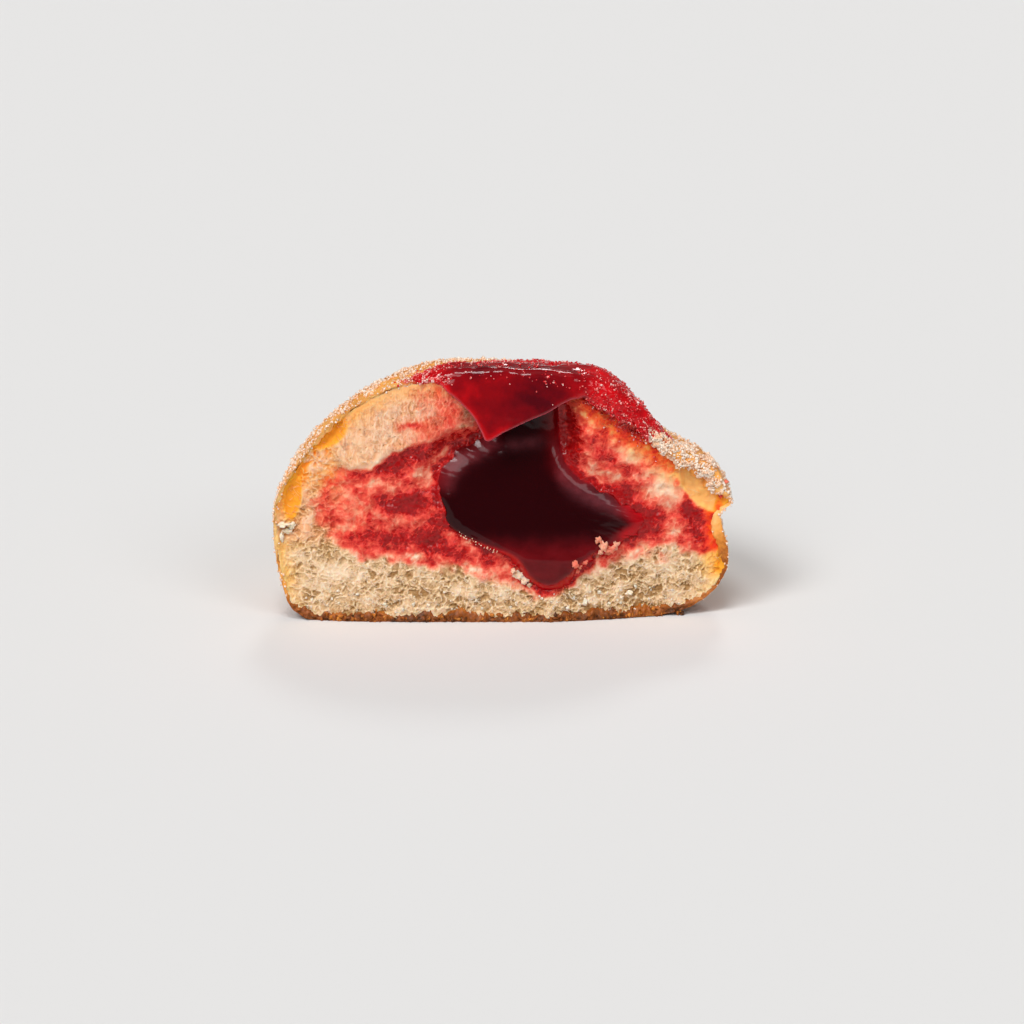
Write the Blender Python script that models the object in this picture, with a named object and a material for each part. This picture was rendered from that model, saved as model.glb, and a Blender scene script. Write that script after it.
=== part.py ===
"""Half of a sugared jelly doughnut, cut down through its middle and standing on its flat base.

Three solids: the fried dough, the jelly filling that shows in the cut and wells up to the crown,
and the jelly that has run out over the crown and hangs down over the cut as a tongue.

Modelling frame: the cut lies near the plane y = 0 and faces -Y, the doughnut's own axis is the
Z axis, and the base is at z = 0. A parent empty then moves everything, so that the origin of the
finished part is the bottom centre of its bounding box.
"""

import math

import bmesh
import bpy
import numpy as np
from mathutils import Matrix, Vector

MM = 0.001

# Driving dimensions.
RADIUS = 45 * MM  # of the whole doughnut, at its widest
CROWN = 50.5 * MM  # height of the dough on its axis
CRUST = 1.2 * MM  # width of the fried rim, which stands proud of the crumb
FIT_GAP = 0.4 * MM  # clearance between pieces that touch in the real food

# How finely the dough is faceted.
PROFILE_STEPS = 44
TURN_STEPS = 32
FACE_RINGS = 9

# Upright profiles from the middle of the base out and up to the crown, as shares of RADIUS and
# CROWN. They match point by point, so that the dough can change smoothly from one to the next as
# it turns. On the right the crust has lifted off the crumb and overhangs at half height.
RIGHT_PROFILE = (
    (0, 0), (0.46, 0), (0.74, 0.012), (0.875, 0.06), (0.962, 0.135), (0.995, 0.235),
    (0.962, 0.40), (1.003, 0.47), (0.95, 0.585), (0.85, 0.65), (0.745, 0.70), (0.665, 0.77),
    (0.565, 0.862), (0.41, 0.948), (0.19, 0.99), (0, 1),
)
BACK_PROFILE = (
    (0, 0), (0.48, 0), (0.78, 0), (0.88, 0.035), (0.945, 0.11), (0.985, 0.235),
    (1.0, 0.37), (0.985, 0.49), (0.94, 0.60), (0.865, 0.705), (0.765, 0.795), (0.64, 0.872),
    (0.49, 0.932), (0.32, 0.970), (0.14, 0.992), (0, 1),
)
LEFT_PROFILE = (
    (0, 0), (0.50, 0), (0.80, 0), (0.89, 0.022), (0.945, 0.085), (0.983, 0.22),
    (1.0, 0.37), (0.985, 0.49), (0.935, 0.60), (0.855, 0.71), (0.755, 0.81), (0.63, 0.892),
    (0.49, 0.948), (0.33, 0.985), (0.16, 0.997), (0, 1),
)

# On the upper left the crust is drawn in at the cut, and swells out again behind it.
TUCK = 1.0 * MM
TUCK_DEPTH = 9 * MM  # how far back it's felt

# Low swells and hollows of the crust behind the cut: how far each rises, its place in plan and
# its spread, in millimetres. They fade out at the cut and down the sides.
SWELLS = (
    (1.3, (-14, 19), 11),  # a blister left of the middle
    (1.9, (20, 9), 7),  # where the jelly broke out
    (-4.5, (35, 14), 8),  # where the crust sank on the right
)

# The cut face isn't quite flat: its right side falls back, and its left edge a little.
FALL_RIGHT = 4.5 * MM
FALL_LEFT = 1.5 * MM

# Jelly filling: its outline in the cut, as (x, z) in millimetres, anticlockwise from the right
# lobe. The neck that leads up to the crown runs past it, and the crown trims it.
FILLING_OUTLINE = (
    (28.0, 20.5), (21.5, 25.5), (15.5, 29.0), (12.6, 32.5), (11.6, 37.0), (11.4, 43.0),
    (11.0, 54.0), (4.5, 56.0), (-1.5, 54.0), (-2.0, 44.0), (-3.6, 37.6), (-9.0, 34.6),
    (-12.4, 30.5), (-12.8, 25.5), (-10.5, 19.5), (-4.5, 15.6), (1.8, 12.8), (5.0, 8.4),
    (9.4, 6.0), (13.8, 8.6), (17.0, 11.8), (23.5, 15.0), (27.4, 17.8),
)
FILLING_CENTRE = (6.0, 26.0)
FILLING_TURNS = 64
FILLING_RINGS = 8
POOL_DEPTH = 21 * MM  # how far the pool reaches into the dough
POOL_BULGE = 2.2 * MM  # how far its middle stands out beyond its rim
NECK_DEPTH = 9 * MM
BULGE_TOP = 37 * MM  # the height at which the bulge has died away
NECK_FROM = 22 * MM  # the pool grows shallower towards the neck between these heights
NECK_TO = 46 * MM
FILLING_SET_BACK = 0.8 * MM  # how far the filling's rim lies back from the cut at the pool
FACE_LEAN = 4.6 * MM  # how much further back its face lies by the neck
LEAN_FROM = 18 * MM  # it leans back between these heights
LEAN_TO = 38 * MM

# Jelly on the crown: its outline as (x, s) in millimetres. s runs back over the crown from the
# edge of the cut, and where it is negative it runs down the cut.
TOPPING_OUTLINE = (
    (32.5, 3.0), (30.5, 9.0), (25.5, 16.0), (17.5, 21.5), (9.5, 21.0), (3.0, 14.5),
    (-4.5, 8.6), (-11.0, 6.4), (-15.6, 4.4), (-17.2, 2.0), (-15.8, -0.2), (-13.2, -1.2),
    (-10.6, -3.1), (-7.8, -5.7), (-5.6, -8.2), (-4.2, -10.8), (-2.8, -12.9), (0.8, -11.0),
    (4.8, -9.0), (8.8, -7.0), (12.2, -4.6), (15.4, -3.2), (19.5, -4.5), (24.0, -4.2),
    (28.5, -2.6), (31.5, -0.4),
)
TOPPING_CENTRE = (6.0, 4.0)
TOPPING_TURNS = 72
TOPPING_RINGS = 9
TOPPING_THICKNESS = 1.5 * MM
TOPPING_ROOT = 1.6 * MM  # how far the uncut piece reaches into the dough, which trims it
EDGE_ROUNDING = 0.8 * MM  # how softly the jelly turns over the edge of the cut
TOPPING_LIFT = 0.3 * MM  # how far its path lies outside that edge
TOPPING_LEAN = 0.16  # how far the tongue swings forward for its length, below its first millimetre
TONGUE_THINS = 0.75  # by what share its root has thinned where it hangs clear of the cut

# Air pockets between crumb and crust, open to the cut: centre (x, z), half width, half length and
# half depth in millimetres, and how far the long side leans right of upright, in degrees.
POCKETS = {
    "pocket_upper_left": ((-33.0, 37.2), 1.7, 3.8, 4.5, 45),
    "pocket_lower_left": ((-41.2, 25.4), 1.5, 4.0, 4.0, 8),
    "pocket_right": ((40.0, 27.0), 1.9, 4.4, 5.0, -38),
}


def smooth(x):
    """0 below 0, 1 above 1, and an S curve between."""
    x = np.clip(x, 0.0, 1.0)
    return x * x * (3 - 2 * x)


def spline(points, closed=False):
    """A function of t, from 0 to 1, along the Catmull-Rom curve through the points."""
    p = np.array(points, float)
    if closed:
        p = np.vstack([p[-1], p, p[0], p[1]])
    else:
        p = np.vstack([2 * p[0] - p[1], p, 2 * p[-1] - p[-2]])
    spans = len(p) - 3

    def at(t):
        u = np.clip(np.asarray(t, float), 0.0, 1.0) * spans
        i = np.minimum(u.astype(int), spans - 1)
        f = (u - i)[..., None]
        a, b, c, d = p[i], p[i + 1], p[i + 2], p[i + 3]
        bend = (2 * a - 5 * b + 4 * c - d) * f**2 + (3 * b - a - 3 * c + d) * f**3
        return b + 0.5 * ((c - a) * f + bend)

    return at


def even_steps(curve, steps):
    """Values of t that part a curve into steps of equal length, its two ends among them."""
    fine = np.linspace(0, 1, 40 * steps + 1)
    run = np.linalg.norm(np.diff(curve(fine), axis=0), axis=1).cumsum()
    return np.interp(np.linspace(0, run[-1], steps + 1), np.concatenate([[0], run]), fine)


def profile_at(t, turn):
    """Radius and height at t along the profile at an angle round the axis from the cut's right end."""
    to_right = max(math.cos(turn), 0.0) ** 2
    to_left = max(-math.cos(turn), 0.0) ** 2
    to_back = math.sin(turn) ** 2
    mixed = (
        to_right * spline(RIGHT_PROFILE)(t)
        + to_back * spline(BACK_PROFILE)(t)
        + to_left * spline(LEFT_PROFILE)(t)
    )
    return mixed[:, 0] * RADIUS, np.maximum(mixed[:, 1], 0.0) * CROWN


def swelling(x, y, z):
    """How far the swells and hollows lift a point of the crust."""
    rise = 0.0
    for height, (at_x, at_y), spread in SWELLS:
        away = np.hypot(x - at_x * MM, y - at_y * MM) / (spread * MM)
        rise = rise + height * MM * np.exp(-(away**2))
    return rise * smooth((z - 30 * MM) / (10 * MM)) * smooth(y / (8 * MM))


def crown_height(x, y):
    """Height of the upper surface of the dough at a point in plan."""
    radius, height = profile_at(np.linspace(0.55, 1.0, 90), math.atan2(y, x))
    z = float(np.interp(math.hypot(x, y), radius[::-1], height[::-1]))
    return z + swelling(x, y, z)


def lumps(x, y, z):
    """The slow unevenness of risen dough, which fades out at the cut and at the base."""
    waves = np.sin(x / (8.5 * MM) + 0.4) * np.sin(y / (7.2 * MM) - 1.1)
    waves += 0.6 * np.sin(y / (5.5 * MM) + x / (9.3 * MM)) * np.sin(z / (6.0 * MM) + 1.2)
    return 0.35 * MM * waves * smooth(y / (18 * MM)) * smooth(z / (6 * MM))


def crumb_depth(x, z, inward):
    """How far the crumb lies back from the cut. inward is its distance from the outline."""
    waves = 0.35 * np.sin(x / (3.9 * MM) + 0.6) * np.sin(z / (3.3 * MM))
    waves += 0.25 * np.sin(x / (7.5 * MM) - 1)
    return (0.5 * CRUST + MM * waves) * smooth(inward / CRUST)


def tuck(x, y, z):
    """How far a point moves in towards the axis where the crust is drawn in at the cut."""
    on_left = smooth((-x - 16 * MM) / (10 * MM))
    near_top = smooth((z - 24 * MM) / (10 * MM)) * smooth((CROWN - z) / (7 * MM))
    return TUCK * on_left * near_top * (1 - smooth(y / TUCK_DEPTH))


def fall_back(x, y):
    """How far a point moves back as the cut curves away at its sides. The far side stays put."""
    share = FALL_RIGHT * smooth((x - 6 * MM) / (36 * MM))
    share += FALL_LEFT * smooth((-x - 22 * MM) / (23 * MM))
    return share * (1 - smooth(y / RADIUS))


def between(first, second):
    """Quads between two rows of vertex numbers."""
    return [(first[i], first[i + 1], second[i + 1], second[i]) for i in range(len(first) - 1)]


def closed(ring):
    """A ring of vertex numbers with its first one again at the end."""
    return [*ring, ring[0]]


def fan(ring, tip):
    """Triangles between a ring of vertex numbers and one point."""
    ring = closed(ring)
    return [(ring[i], ring[i + 1], tip) for i in range(len(ring) - 1)]


def linked_object(name, bm, parent):
    """An object in the scene with the bmesh as its mesh, shaded smooth but for its sharp edges."""
    mesh = bpy.data.meshes.new(name)
    bm.to_mesh(mesh)
    bm.free()
    mesh.shade_smooth()
    mesh.set_sharp_from_angle(angle=math.radians(50))
    obj = bpy.data.objects.new(name, mesh)
    bpy.context.scene.collection.objects.link(obj)
    obj.parent = parent
    return obj


def add_object(name, vertices, faces, parent):
    """A closed mesh object, its points moved back with the curved cut, its faces turned outwards."""
    points = np.array(vertices, float)
    points[:, 1] += fall_back(points[:, 0], points[:, 1])
    bm = bmesh.new()
    corners = [bm.verts.new(p) for p in points]
    for face in faces:
        bm.faces.new([corners[i] for i in face])
    bmesh.ops.recalc_face_normals(bm, faces=bm.faces)
    return linked_object(name, bm, parent)


def grown(obj, distance):
    """The object with every point moved out along its normal."""
    normals = [vertex.normal.copy() for vertex in obj.data.vertices]
    for vertex, normal in zip(obj.data.vertices, normals):
        vertex.co += normal * distance
    return obj


def add_body(name, parent, forward=0.0):
    """The half doughnut uncut by jelly or pockets. forward moves its face out from the cut."""
    stops = even_steps(spline(LEFT_PROFILE), PROFILE_STEPS)
    vertices = [(0.0, -forward, 0.0), (0.0, -forward, CROWN)]
    columns = []
    for turn in np.linspace(0, math.pi, TURN_STEPS + 1):
        radius, z = (side[1:-1] for side in profile_at(stops, turn))
        on_cut = min(turn, math.pi - turn) < 1e-6
        x = radius * math.cos(turn)
        y = radius * math.sin(turn) if not on_cut else np.full(len(radius), -forward)
        swell = 1 + (lumps(x, y, z) - tuck(x, y, z)) / np.maximum(radius, MM)
        columns.append([0, *range(len(vertices), len(vertices) + len(x)), 1])
        vertices += zip(x * swell, y * swell, z + swelling(x, y, z))
    faces = []
    for near, far in zip(columns, columns[1:]):
        faces += between(near[1:-1], far[1:-1])
        faces += [(0, near[1], far[1]), (1, near[-2], far[-2])]

    rim = columns[0] + columns[-1][-2:0:-1]
    edge = np.array([(vertices[i][0], vertices[i][2]) for i in rim])
    middle = np.array((0.0, 0.46 * CROWN))
    outer = rim
    for share in np.linspace(1 - 1.25 * CRUST / RADIUS, 0, FACE_RINGS + 1)[:-1]:
        ring = middle + (edge - middle) * share
        depth = crumb_depth(ring[:, 0], ring[:, 1], np.linalg.norm(edge - ring, axis=1))
        inner = list(range(len(vertices), len(vertices) + len(rim)))
        vertices += zip(ring[:, 0], depth - forward, ring[:, 1])
        faces += between(closed(outer), closed(inner))
        outer = inner
    vertices.append((middle[0], crumb_depth(*middle, CRUST) - forward, middle[1]))
    faces += fan(outer, len(vertices) - 1)
    return add_object(name, vertices, faces, parent)


def filling_rim(height):
    """How far the filling's rim lies back from the cut. Its face leans back as it rises."""
    return FILLING_SET_BACK + FACE_LEAN * smooth((height - LEAN_FROM) / (LEAN_TO - LEAN_FROM))


def filling_front_and_back(points, share):
    """How far the filling's two sides lie behind the cut, at points in the cut. share is 1 on its rim."""
    rim = filling_rim(points[:, 1])
    bulge = smooth((BULGE_TOP - points[:, 1]) / (8 * MM)) * (1 - share**3)
    neck = smooth((points[:, 1] - NECK_FROM) / (NECK_TO - NECK_FROM))
    deepest = FILLING_SET_BACK + POOL_DEPTH * (1 - neck) + NECK_DEPTH * neck
    return rim - POOL_BULGE * bulge, rim + (deepest - rim) * math.sqrt(1 - share * share)


def outline(points, steps, gap=0.0):
    """Points along a closed outline in millimetres, moved outwards by a gap in metres."""
    turns = np.arange(steps) / steps
    edge = spline(points, closed=True)(turns) * MM
    along = np.roll(edge, -1, axis=0) - np.roll(edge, 1, axis=0)
    outward = np.stack([along[:, 1], -along[:, 0]], axis=1)
    return edge + gap * outward / np.linalg.norm(outward, axis=1)[:, None]


def add_filling(name, parent, gap=0.0, reach=0.0):
    """The filling before the crown trims it. With a gap and a reach it's the cutter for its cavity."""
    centre = np.array(FILLING_CENTRE) * MM
    true_edge = outline(FILLING_OUTLINE, FILLING_TURNS)
    edge = outline(FILLING_OUTLINE, FILLING_TURNS, gap)
    count = len(edge)
    vertices = list(zip(edge[:, 0], filling_rim(true_edge[:, 1]), edge[:, 1]))
    rim = list(range(count))
    faces = []
    for side in (0, 1):
        outer = rim
        if side == 0 and reach:
            outer = list(range(len(vertices), len(vertices) + count))
            vertices += [(x, -reach, z) for x, z in edge]
            faces += between(closed(rim), closed(outer))
        for step in range(1, FILLING_RINGS + 1):
            share = 1 - step / FILLING_RINGS
            share = math.sin(share * math.pi / 2) if side else share
            ring = centre + (edge - centre) * share
            y = filling_front_and_back(centre + (true_edge - centre) * share, share)[side]
            if side == 0 and reach:
                y = np.full(count, -reach)
            elif side:
                y += gap
            if step == FILLING_RINGS:
                vertices.append((centre[0], y[0], centre[1]))
                faces += fan(outer, len(vertices) - 1)
                break
            inner = list(range(len(vertices), len(vertices) + count))
            vertices += zip(ring[:, 0], y, ring[:, 1])
            faces += between(closed(outer), closed(inner))
            outer = inner
    return add_object(name, vertices, faces, parent)


def draped(x, s):
    """The point that lies s back over the crown from the edge of the cut, or down the cut."""
    back = EDGE_ROUNDING * np.logaddexp(0, s / EDGE_ROUNDING)
    down = EDGE_ROUNDING * np.logaddexp(0, -s / EDGE_ROUNDING)
    forward = TOPPING_LIFT + TOPPING_LEAN * max(down - MM, 0)
    return np.array((x, back - forward, crown_height(x, back) - down + TOPPING_LIFT))


def add_topping(name, parent):
    """The jelly on the crown and over the cut, still reaching into the dough that trims it."""
    centre = np.array(TOPPING_CENTRE) * MM
    edge = outline(TOPPING_OUTLINE, TOPPING_TURNS)
    step = 0.2 * MM
    vertices, faces = [], []
    rings = {1: [], -1: []}
    for share in np.sin(np.linspace(1, 0, TOPPING_RINGS + 1) * math.pi / 2):
        flat = centre + (edge - centre) * share if share else centre[None, :]
        swell = math.sqrt(1 - share**4)
        for side, height in ((1, TOPPING_THICKNESS), (-1, TOPPING_ROOT)):
            if side == -1 and share == 1:
                rings[-1].append(rings[1][0])
                continue
            rings[side].append(list(range(len(vertices), len(vertices) + len(flat))))
            for x, s in flat:
                along_x = draped(x + step, s) - draped(x - step, s)
                along_s = draped(x, s + step) - draped(x, s - step)
                normal = Vector(np.cross(along_x, along_s)).normalized()
                hangs = 1 - TONGUE_THINS * smooth((-s - 2 * MM) / (8 * MM)) * (side == -1)
                vertices.append(Vector(draped(x, s)) + normal * side * height * swell * float(hangs))
    for side in (1, -1):
        *loops, tip = rings[side]
        for outer, inner in zip(loops, loops[1:]):
            faces += between(closed(outer), closed(inner))
        faces += fan(loops[-1], tip[0])
    return add_object(name, vertices, faces, parent)


def add_pocket(name, parent):
    """An egg-shaped cutter for one air pocket."""
    (x, z), half_width, half_length, half_depth, lean = POCKETS[name]
    bm = bmesh.new()
    bmesh.ops.create_uvsphere(bm, u_segments=16, v_segments=10, radius=MM)
    place = Matrix.Translation((x * MM, fall_back(x * MM, 0.0), z * MM))
    place @= Matrix.Rotation(math.radians(lean), 4, "Y")
    place @= Matrix.Diagonal((half_width, half_depth, half_length, 1))
    bmesh.ops.transform(bm, matrix=place, verts=bm.verts)
    return linked_object(name, bm, parent)


def cut_with(obj, cutter, operation="DIFFERENCE"):
    """A Boolean on obj. The cutter is only a helper, so it is never rendered."""
    modifier = obj.modifiers.new(cutter.name, "BOOLEAN")
    modifier.operation = operation
    modifier.object = cutter
    cutter.hide_render = True
    cutter.display_type = "WIRE"


def material(name, colour, roughness):
    made = bpy.data.materials.new(name)
    made.use_nodes = True
    shader = made.node_tree.nodes["Principled BSDF"]
    shader.inputs["Base Color"].default_value = (*colour, 1)
    shader.inputs["Roughness"].default_value = roughness
    shader.inputs["Metallic"].default_value = 0
    return made


def stand_on_origin(parent, pieces):
    """Moves the parent so that the bottom centre of the pieces' bounding box is the origin."""
    bpy.context.view_layer.update()
    graph = bpy.context.evaluated_depsgraph_get()
    corners = []
    for piece in pieces:
        done = piece.evaluated_get(graph)
        corners += [done.matrix_world @ Vector(corner) for corner in done.bound_box]
    low, high = np.min(corners, axis=0), np.max(corners, axis=0)
    parent.location = (-(low[0] + high[0]) / 2, -(low[1] + high[1]) / 2, -low[2])


def main():
    for obj in list(bpy.data.objects):
        bpy.data.objects.remove(obj)
    parent = bpy.data.objects.new("half_doughnut", None)
    bpy.context.scene.collection.objects.link(parent)

    dough = add_body("dough", parent)
    dough.data.materials.append(material("fried_dough", (0.62, 0.36, 0.14), 0.8))
    cut_with(dough, add_filling("jelly_cavity", parent, gap=FIT_GAP, reach=8 * MM))
    for name in POCKETS:
        cut_with(dough, add_pocket(name, parent))

    filling = add_filling("jelly_filling", parent)
    filling.data.materials.append(material("dark_jelly", (0.05, 0.003, 0.006), 0.12))
    cut_with(filling, add_body("crown_trim", parent, forward=4 * MM), "INTERSECT")

    topping = add_topping("jelly_topping", parent)
    topping.data.materials.append(material("red_jelly", (0.30, 0.006, 0.012), 0.12))
    cut_with(topping, grown(add_body("dough_clearance", parent), FIT_GAP))

    stand_on_origin(parent, (dough, filling, topping))


main()
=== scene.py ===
import math

import bmesh
import bpy
import numpy as np
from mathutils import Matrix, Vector, noise


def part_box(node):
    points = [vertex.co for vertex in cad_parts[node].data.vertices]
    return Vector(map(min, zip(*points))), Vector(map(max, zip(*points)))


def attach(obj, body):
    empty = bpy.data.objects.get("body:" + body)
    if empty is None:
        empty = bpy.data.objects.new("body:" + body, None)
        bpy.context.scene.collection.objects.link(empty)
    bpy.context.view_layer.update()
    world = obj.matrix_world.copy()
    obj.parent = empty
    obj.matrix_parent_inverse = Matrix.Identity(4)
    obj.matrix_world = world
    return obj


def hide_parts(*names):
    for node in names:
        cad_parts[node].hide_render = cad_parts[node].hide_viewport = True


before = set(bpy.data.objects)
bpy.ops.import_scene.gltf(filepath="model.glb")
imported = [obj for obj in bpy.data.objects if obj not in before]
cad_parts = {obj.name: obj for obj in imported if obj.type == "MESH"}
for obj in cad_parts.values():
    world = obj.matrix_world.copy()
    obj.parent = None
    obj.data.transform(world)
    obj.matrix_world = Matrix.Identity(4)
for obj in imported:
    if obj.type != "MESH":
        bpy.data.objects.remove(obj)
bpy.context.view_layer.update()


# ---- Table and light ---------------------------------------------------------------------------
# A pale matt table runs out past the view on every side. Broad soft lights stand high on the left,
# on the right, overhead and behind, as a studio's cloth boxes do, so that shadows hardly show.

def linear(hex_colour):
    """The linear RGBA of an sRGB hex colour."""
    parts = [int(hex_colour[i : i + 2], 16) / 255 for i in (1, 3, 5)]
    return [c / 12.92 if c <= 0.04045 else ((c + 0.055) / 1.055) ** 2.4 for c in parts] + [1.0]


def set_inputs(node, inputs):
    """Gives the named inputs of a node their values, or links from the outputs of other nodes."""
    for name, value in inputs.items():
        if isinstance(value, bpy.types.NodeSocket):
            node.id_data.links.new(value, node.inputs[name])
        else:
            node.inputs[name].default_value = value


def add_node(tree, kind, inputs=None, out=0, **settings):
    """Adds a node with its settings and inputs, and returns one of its outputs."""
    made = tree.nodes.new("ShaderNode" + kind)
    for name, value in settings.items():
        setattr(made, name, value)
    set_inputs(made, inputs or {})
    return made.outputs[out]


def new_material(name):
    """A material with its node tree and its shader, which comes with it."""
    made = bpy.data.materials.new(name)
    made.use_nodes = True
    return made, made.node_tree, made.node_tree.nodes["Principled BSDF"]


bpy.ops.mesh.primitive_plane_add(size=8)
table = bpy.context.object
table.name = "table"
# Matt white laminate: an even pale grey, with no gloss to mirror the food.
white_laminate, tree, shader = new_material("matt_white_laminate")
set_inputs(shader, {"Base Color": linear("#E6E5E4"), "Roughness": 0.9, "Specular IOR Level": 0.0})
table.data.materials.append(white_laminate)

# Each light: the direction it comes from as azimuth and elevation in degrees, where azimuth 0 is
# the side that the cut faces and positive is to its viewer's right, then its width in degrees and
# its strength.
LIGHTS = {
    "key_box": (-38, 46, 20, 1.30),
    "window": (-8, 64, 16, 0.80),
    "back_window": (172, 42, 12, 0.50),
    "top_box": (0, 84, 40, 0.10),
    "left_cloth": (-25, 35, 26, 0.65),
    "right_cloth": (38, 37, 26, 0.55),
}
for name, (azimuth, elevation, width, strength) in LIGHTS.items():
    lamp = bpy.data.objects.new(name, bpy.data.lights.new(name, "SUN"))
    bpy.context.scene.collection.objects.link(lamp)
    lamp.data.angle = math.radians(width)
    lamp.data.energy = strength
    lamp.rotation_euler = (math.radians(90 - elevation), 0, math.radians(azimuth))

# The room gives a dim even light, and past the table's edge it looks as pale as the table.
room = bpy.data.worlds.new("dim_studio")
room.use_nodes = True
dim_light = room.node_tree.nodes["Background"]
set_inputs(dim_light, {"Color": linear("#FFFFFF"), "Strength": 0.12})
pale_wall = add_node(room.node_tree, "Background", {"Color": linear("#E7E6E5"), "Strength": 1.0})
is_seen = add_node(room.node_tree, "LightPath", out="Is Camera Ray")
background = add_node(room.node_tree, "MixShader", {0: is_seen, 1: dim_light.outputs[0], 2: pale_wall})
set_inputs(room.node_tree.nodes["World Output"], {"Surface": background})
bpy.context.scene.world = room

MM = 0.001
CUT_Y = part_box("dough")[0].y  # the plane of the cut; it faces -Y
CAMERA_AIM = Vector((1.96 * MM, CUT_Y, 22.75 * MM))
CAMERA_DISTANCE = 1.0
CAMERA_ELEVATION = math.radians(17.2)
camera = bpy.data.objects.new("camera", bpy.data.cameras.new("camera"))
bpy.context.scene.collection.objects.link(camera)
camera.data.sensor_width = 36
camera.data.lens = 178.95
camera.location = CAMERA_AIM + CAMERA_DISTANCE * Vector(
    (0, -math.cos(CAMERA_ELEVATION), math.sin(CAMERA_ELEVATION))
)
camera.rotation_euler = (math.pi / 2 - CAMERA_ELEVATION, 0, 0)
bpy.context.scene.camera = camera
bpy.context.scene.view_settings.view_transform = "Standard"


# ---- Fried crust -------------------------------------------------------------------------------
# The skin of the yeast dough, about a millimetre thick, browned in hot oil and lightly blistered.
# It stands a little proud of the crumb where the knife went through, with a ragged edge.
# All shapes from here on are in millimetres: x along the cut, y back from it, z up.

RADIUS = 45.0
CROWN = 50.5

# Upright profiles from the middle of the base out and up to the crown, in shares of the radius
# and of the crown's height, on the right, at the back and on the left.
RIGHT_PROFILE = (
    (0, 0), (0.46, 0), (0.74, 0.012), (0.875, 0.06), (0.962, 0.135), (0.995, 0.235),
    (0.962, 0.40), (1.003, 0.47), (0.95, 0.585), (0.85, 0.65), (0.745, 0.70), (0.665, 0.77),
    (0.565, 0.862), (0.41, 0.948), (0.19, 0.99), (0, 1),
)
BACK_PROFILE = (
    (0, 0), (0.48, 0), (0.78, 0), (0.88, 0.035), (0.945, 0.11), (0.985, 0.235),
    (1.0, 0.37), (0.985, 0.49), (0.94, 0.60), (0.865, 0.705), (0.765, 0.795), (0.64, 0.872),
    (0.49, 0.932), (0.32, 0.970), (0.14, 0.992), (0, 1),
)
LEFT_PROFILE = (
    (0, 0), (0.50, 0), (0.80, 0), (0.89, 0.022), (0.945, 0.085), (0.983, 0.22),
    (1.0, 0.37), (0.985, 0.49), (0.935, 0.60), (0.855, 0.71), (0.755, 0.81), (0.63, 0.892),
    (0.49, 0.948), (0.33, 0.985), (0.16, 0.997), (0, 1),
)


def smooth(x):
    """0 below 0, 1 above 1, and an S curve between."""
    x = np.clip(x, 0.0, 1.0)
    return x * x * (3 - 2 * x)


def hump(x):
    """1 at 0, and down to 0 smoothly on either side."""
    return np.exp(-(x**2))


def spline(points, closed=False):
    """A function of t, from 0 to 1, along the Catmull-Rom curve through the points."""
    p = np.array(points, float)
    if closed:
        p = np.vstack([p[-1], p, p[0], p[1]])
    else:
        p = np.vstack([2 * p[0] - p[1], p, 2 * p[-1] - p[-2]])
    spans = len(p) - 3

    def at(t):
        u = np.clip(np.asarray(t, float), 0.0, 1.0) * spans
        i = np.minimum(u.astype(int), spans - 1)
        f = (u - i)[..., None]
        a, b, c, d = p[i], p[i + 1], p[i + 2], p[i + 3]
        bend = (2 * a - 5 * b + 4 * c - d) * f**2 + (3 * b - a - 3 * c + d) * f**3
        return b + 0.5 * ((c - a) * f + bend)

    return at


def even_steps(curve, steps):
    """Values of t that part a curve into steps of equal length, its two ends among them."""
    fine = np.linspace(0, 1, 40 * steps + 1)
    run = np.linalg.norm(np.diff(curve(fine), axis=0), axis=1).cumsum()
    return np.interp(np.linspace(0, run[-1], steps + 1), np.concatenate([[0], run]), fine)


def fall_back(x, y):
    """How far a point moves back as the cut curves away at its sides."""
    share = 4.5 * smooth((x - 6) / 36) + 1.5 * smooth((-x - 22) / 23)
    return share * (1 - smooth(y / RADIUS))


# Low swells and hollows behind the cut: how far each rises, its place in plan and its spread.
SWELLS = (
    (1.3, (-14, 19), 11),  # a blister left of the middle
    (1.9, (20, 9), 7),  # where the jelly broke out
    (-4.5, (35, 14), 8),  # where the crust sank on the right
)


def swelling(x, y, z):
    """How far the swells and hollows lift a point of the crust."""
    rise = 0.0
    for height, (at_x, at_y), spread in SWELLS:
        rise = rise + height * hump(np.hypot(x - at_x, y - at_y) / spread)
    return rise * smooth((z - 30) / 10) * smooth(y / 8)


def crust_at(stops, turns):
    """Points on the outside of the crust: a row for each turn round the axis, from 0 at the right."""
    right, back, left = (spline(p)(stops) for p in (RIGHT_PROFILE, BACK_PROFILE, LEFT_PROFILE))
    cosine, sine = np.cos(turns)[..., None, None], np.sin(turns)[..., None, None]
    mixed = np.maximum(cosine, 0) ** 2 * right + np.maximum(-cosine, 0) ** 2 * left + sine**2 * back
    radius, z = mixed[..., 0] * RADIUS, np.maximum(mixed[..., 1], 0) * CROWN
    x, y = radius * cosine[..., 0], radius * sine[..., 0]
    waves = np.sin(x / 8.5 + 0.4) * np.sin(y / 7.2 - 1.1)
    waves += 0.6 * np.sin(y / 5.5 + x / 9.3) * np.sin(z / 6.0 + 1.2)
    grow = 0.35 * waves * smooth(y / 18) * smooth(z / 6)
    near_top = smooth((z - 24) / 10) * smooth((CROWN - z) / 7)
    grow -= smooth((-x - 16) / 10) * near_top * (1 - smooth(y / 9))
    grow = 1 + grow / np.maximum(radius, 1)
    return np.stack([x * grow, y * grow, z + swelling(x, y, z)], axis=-1)


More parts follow.
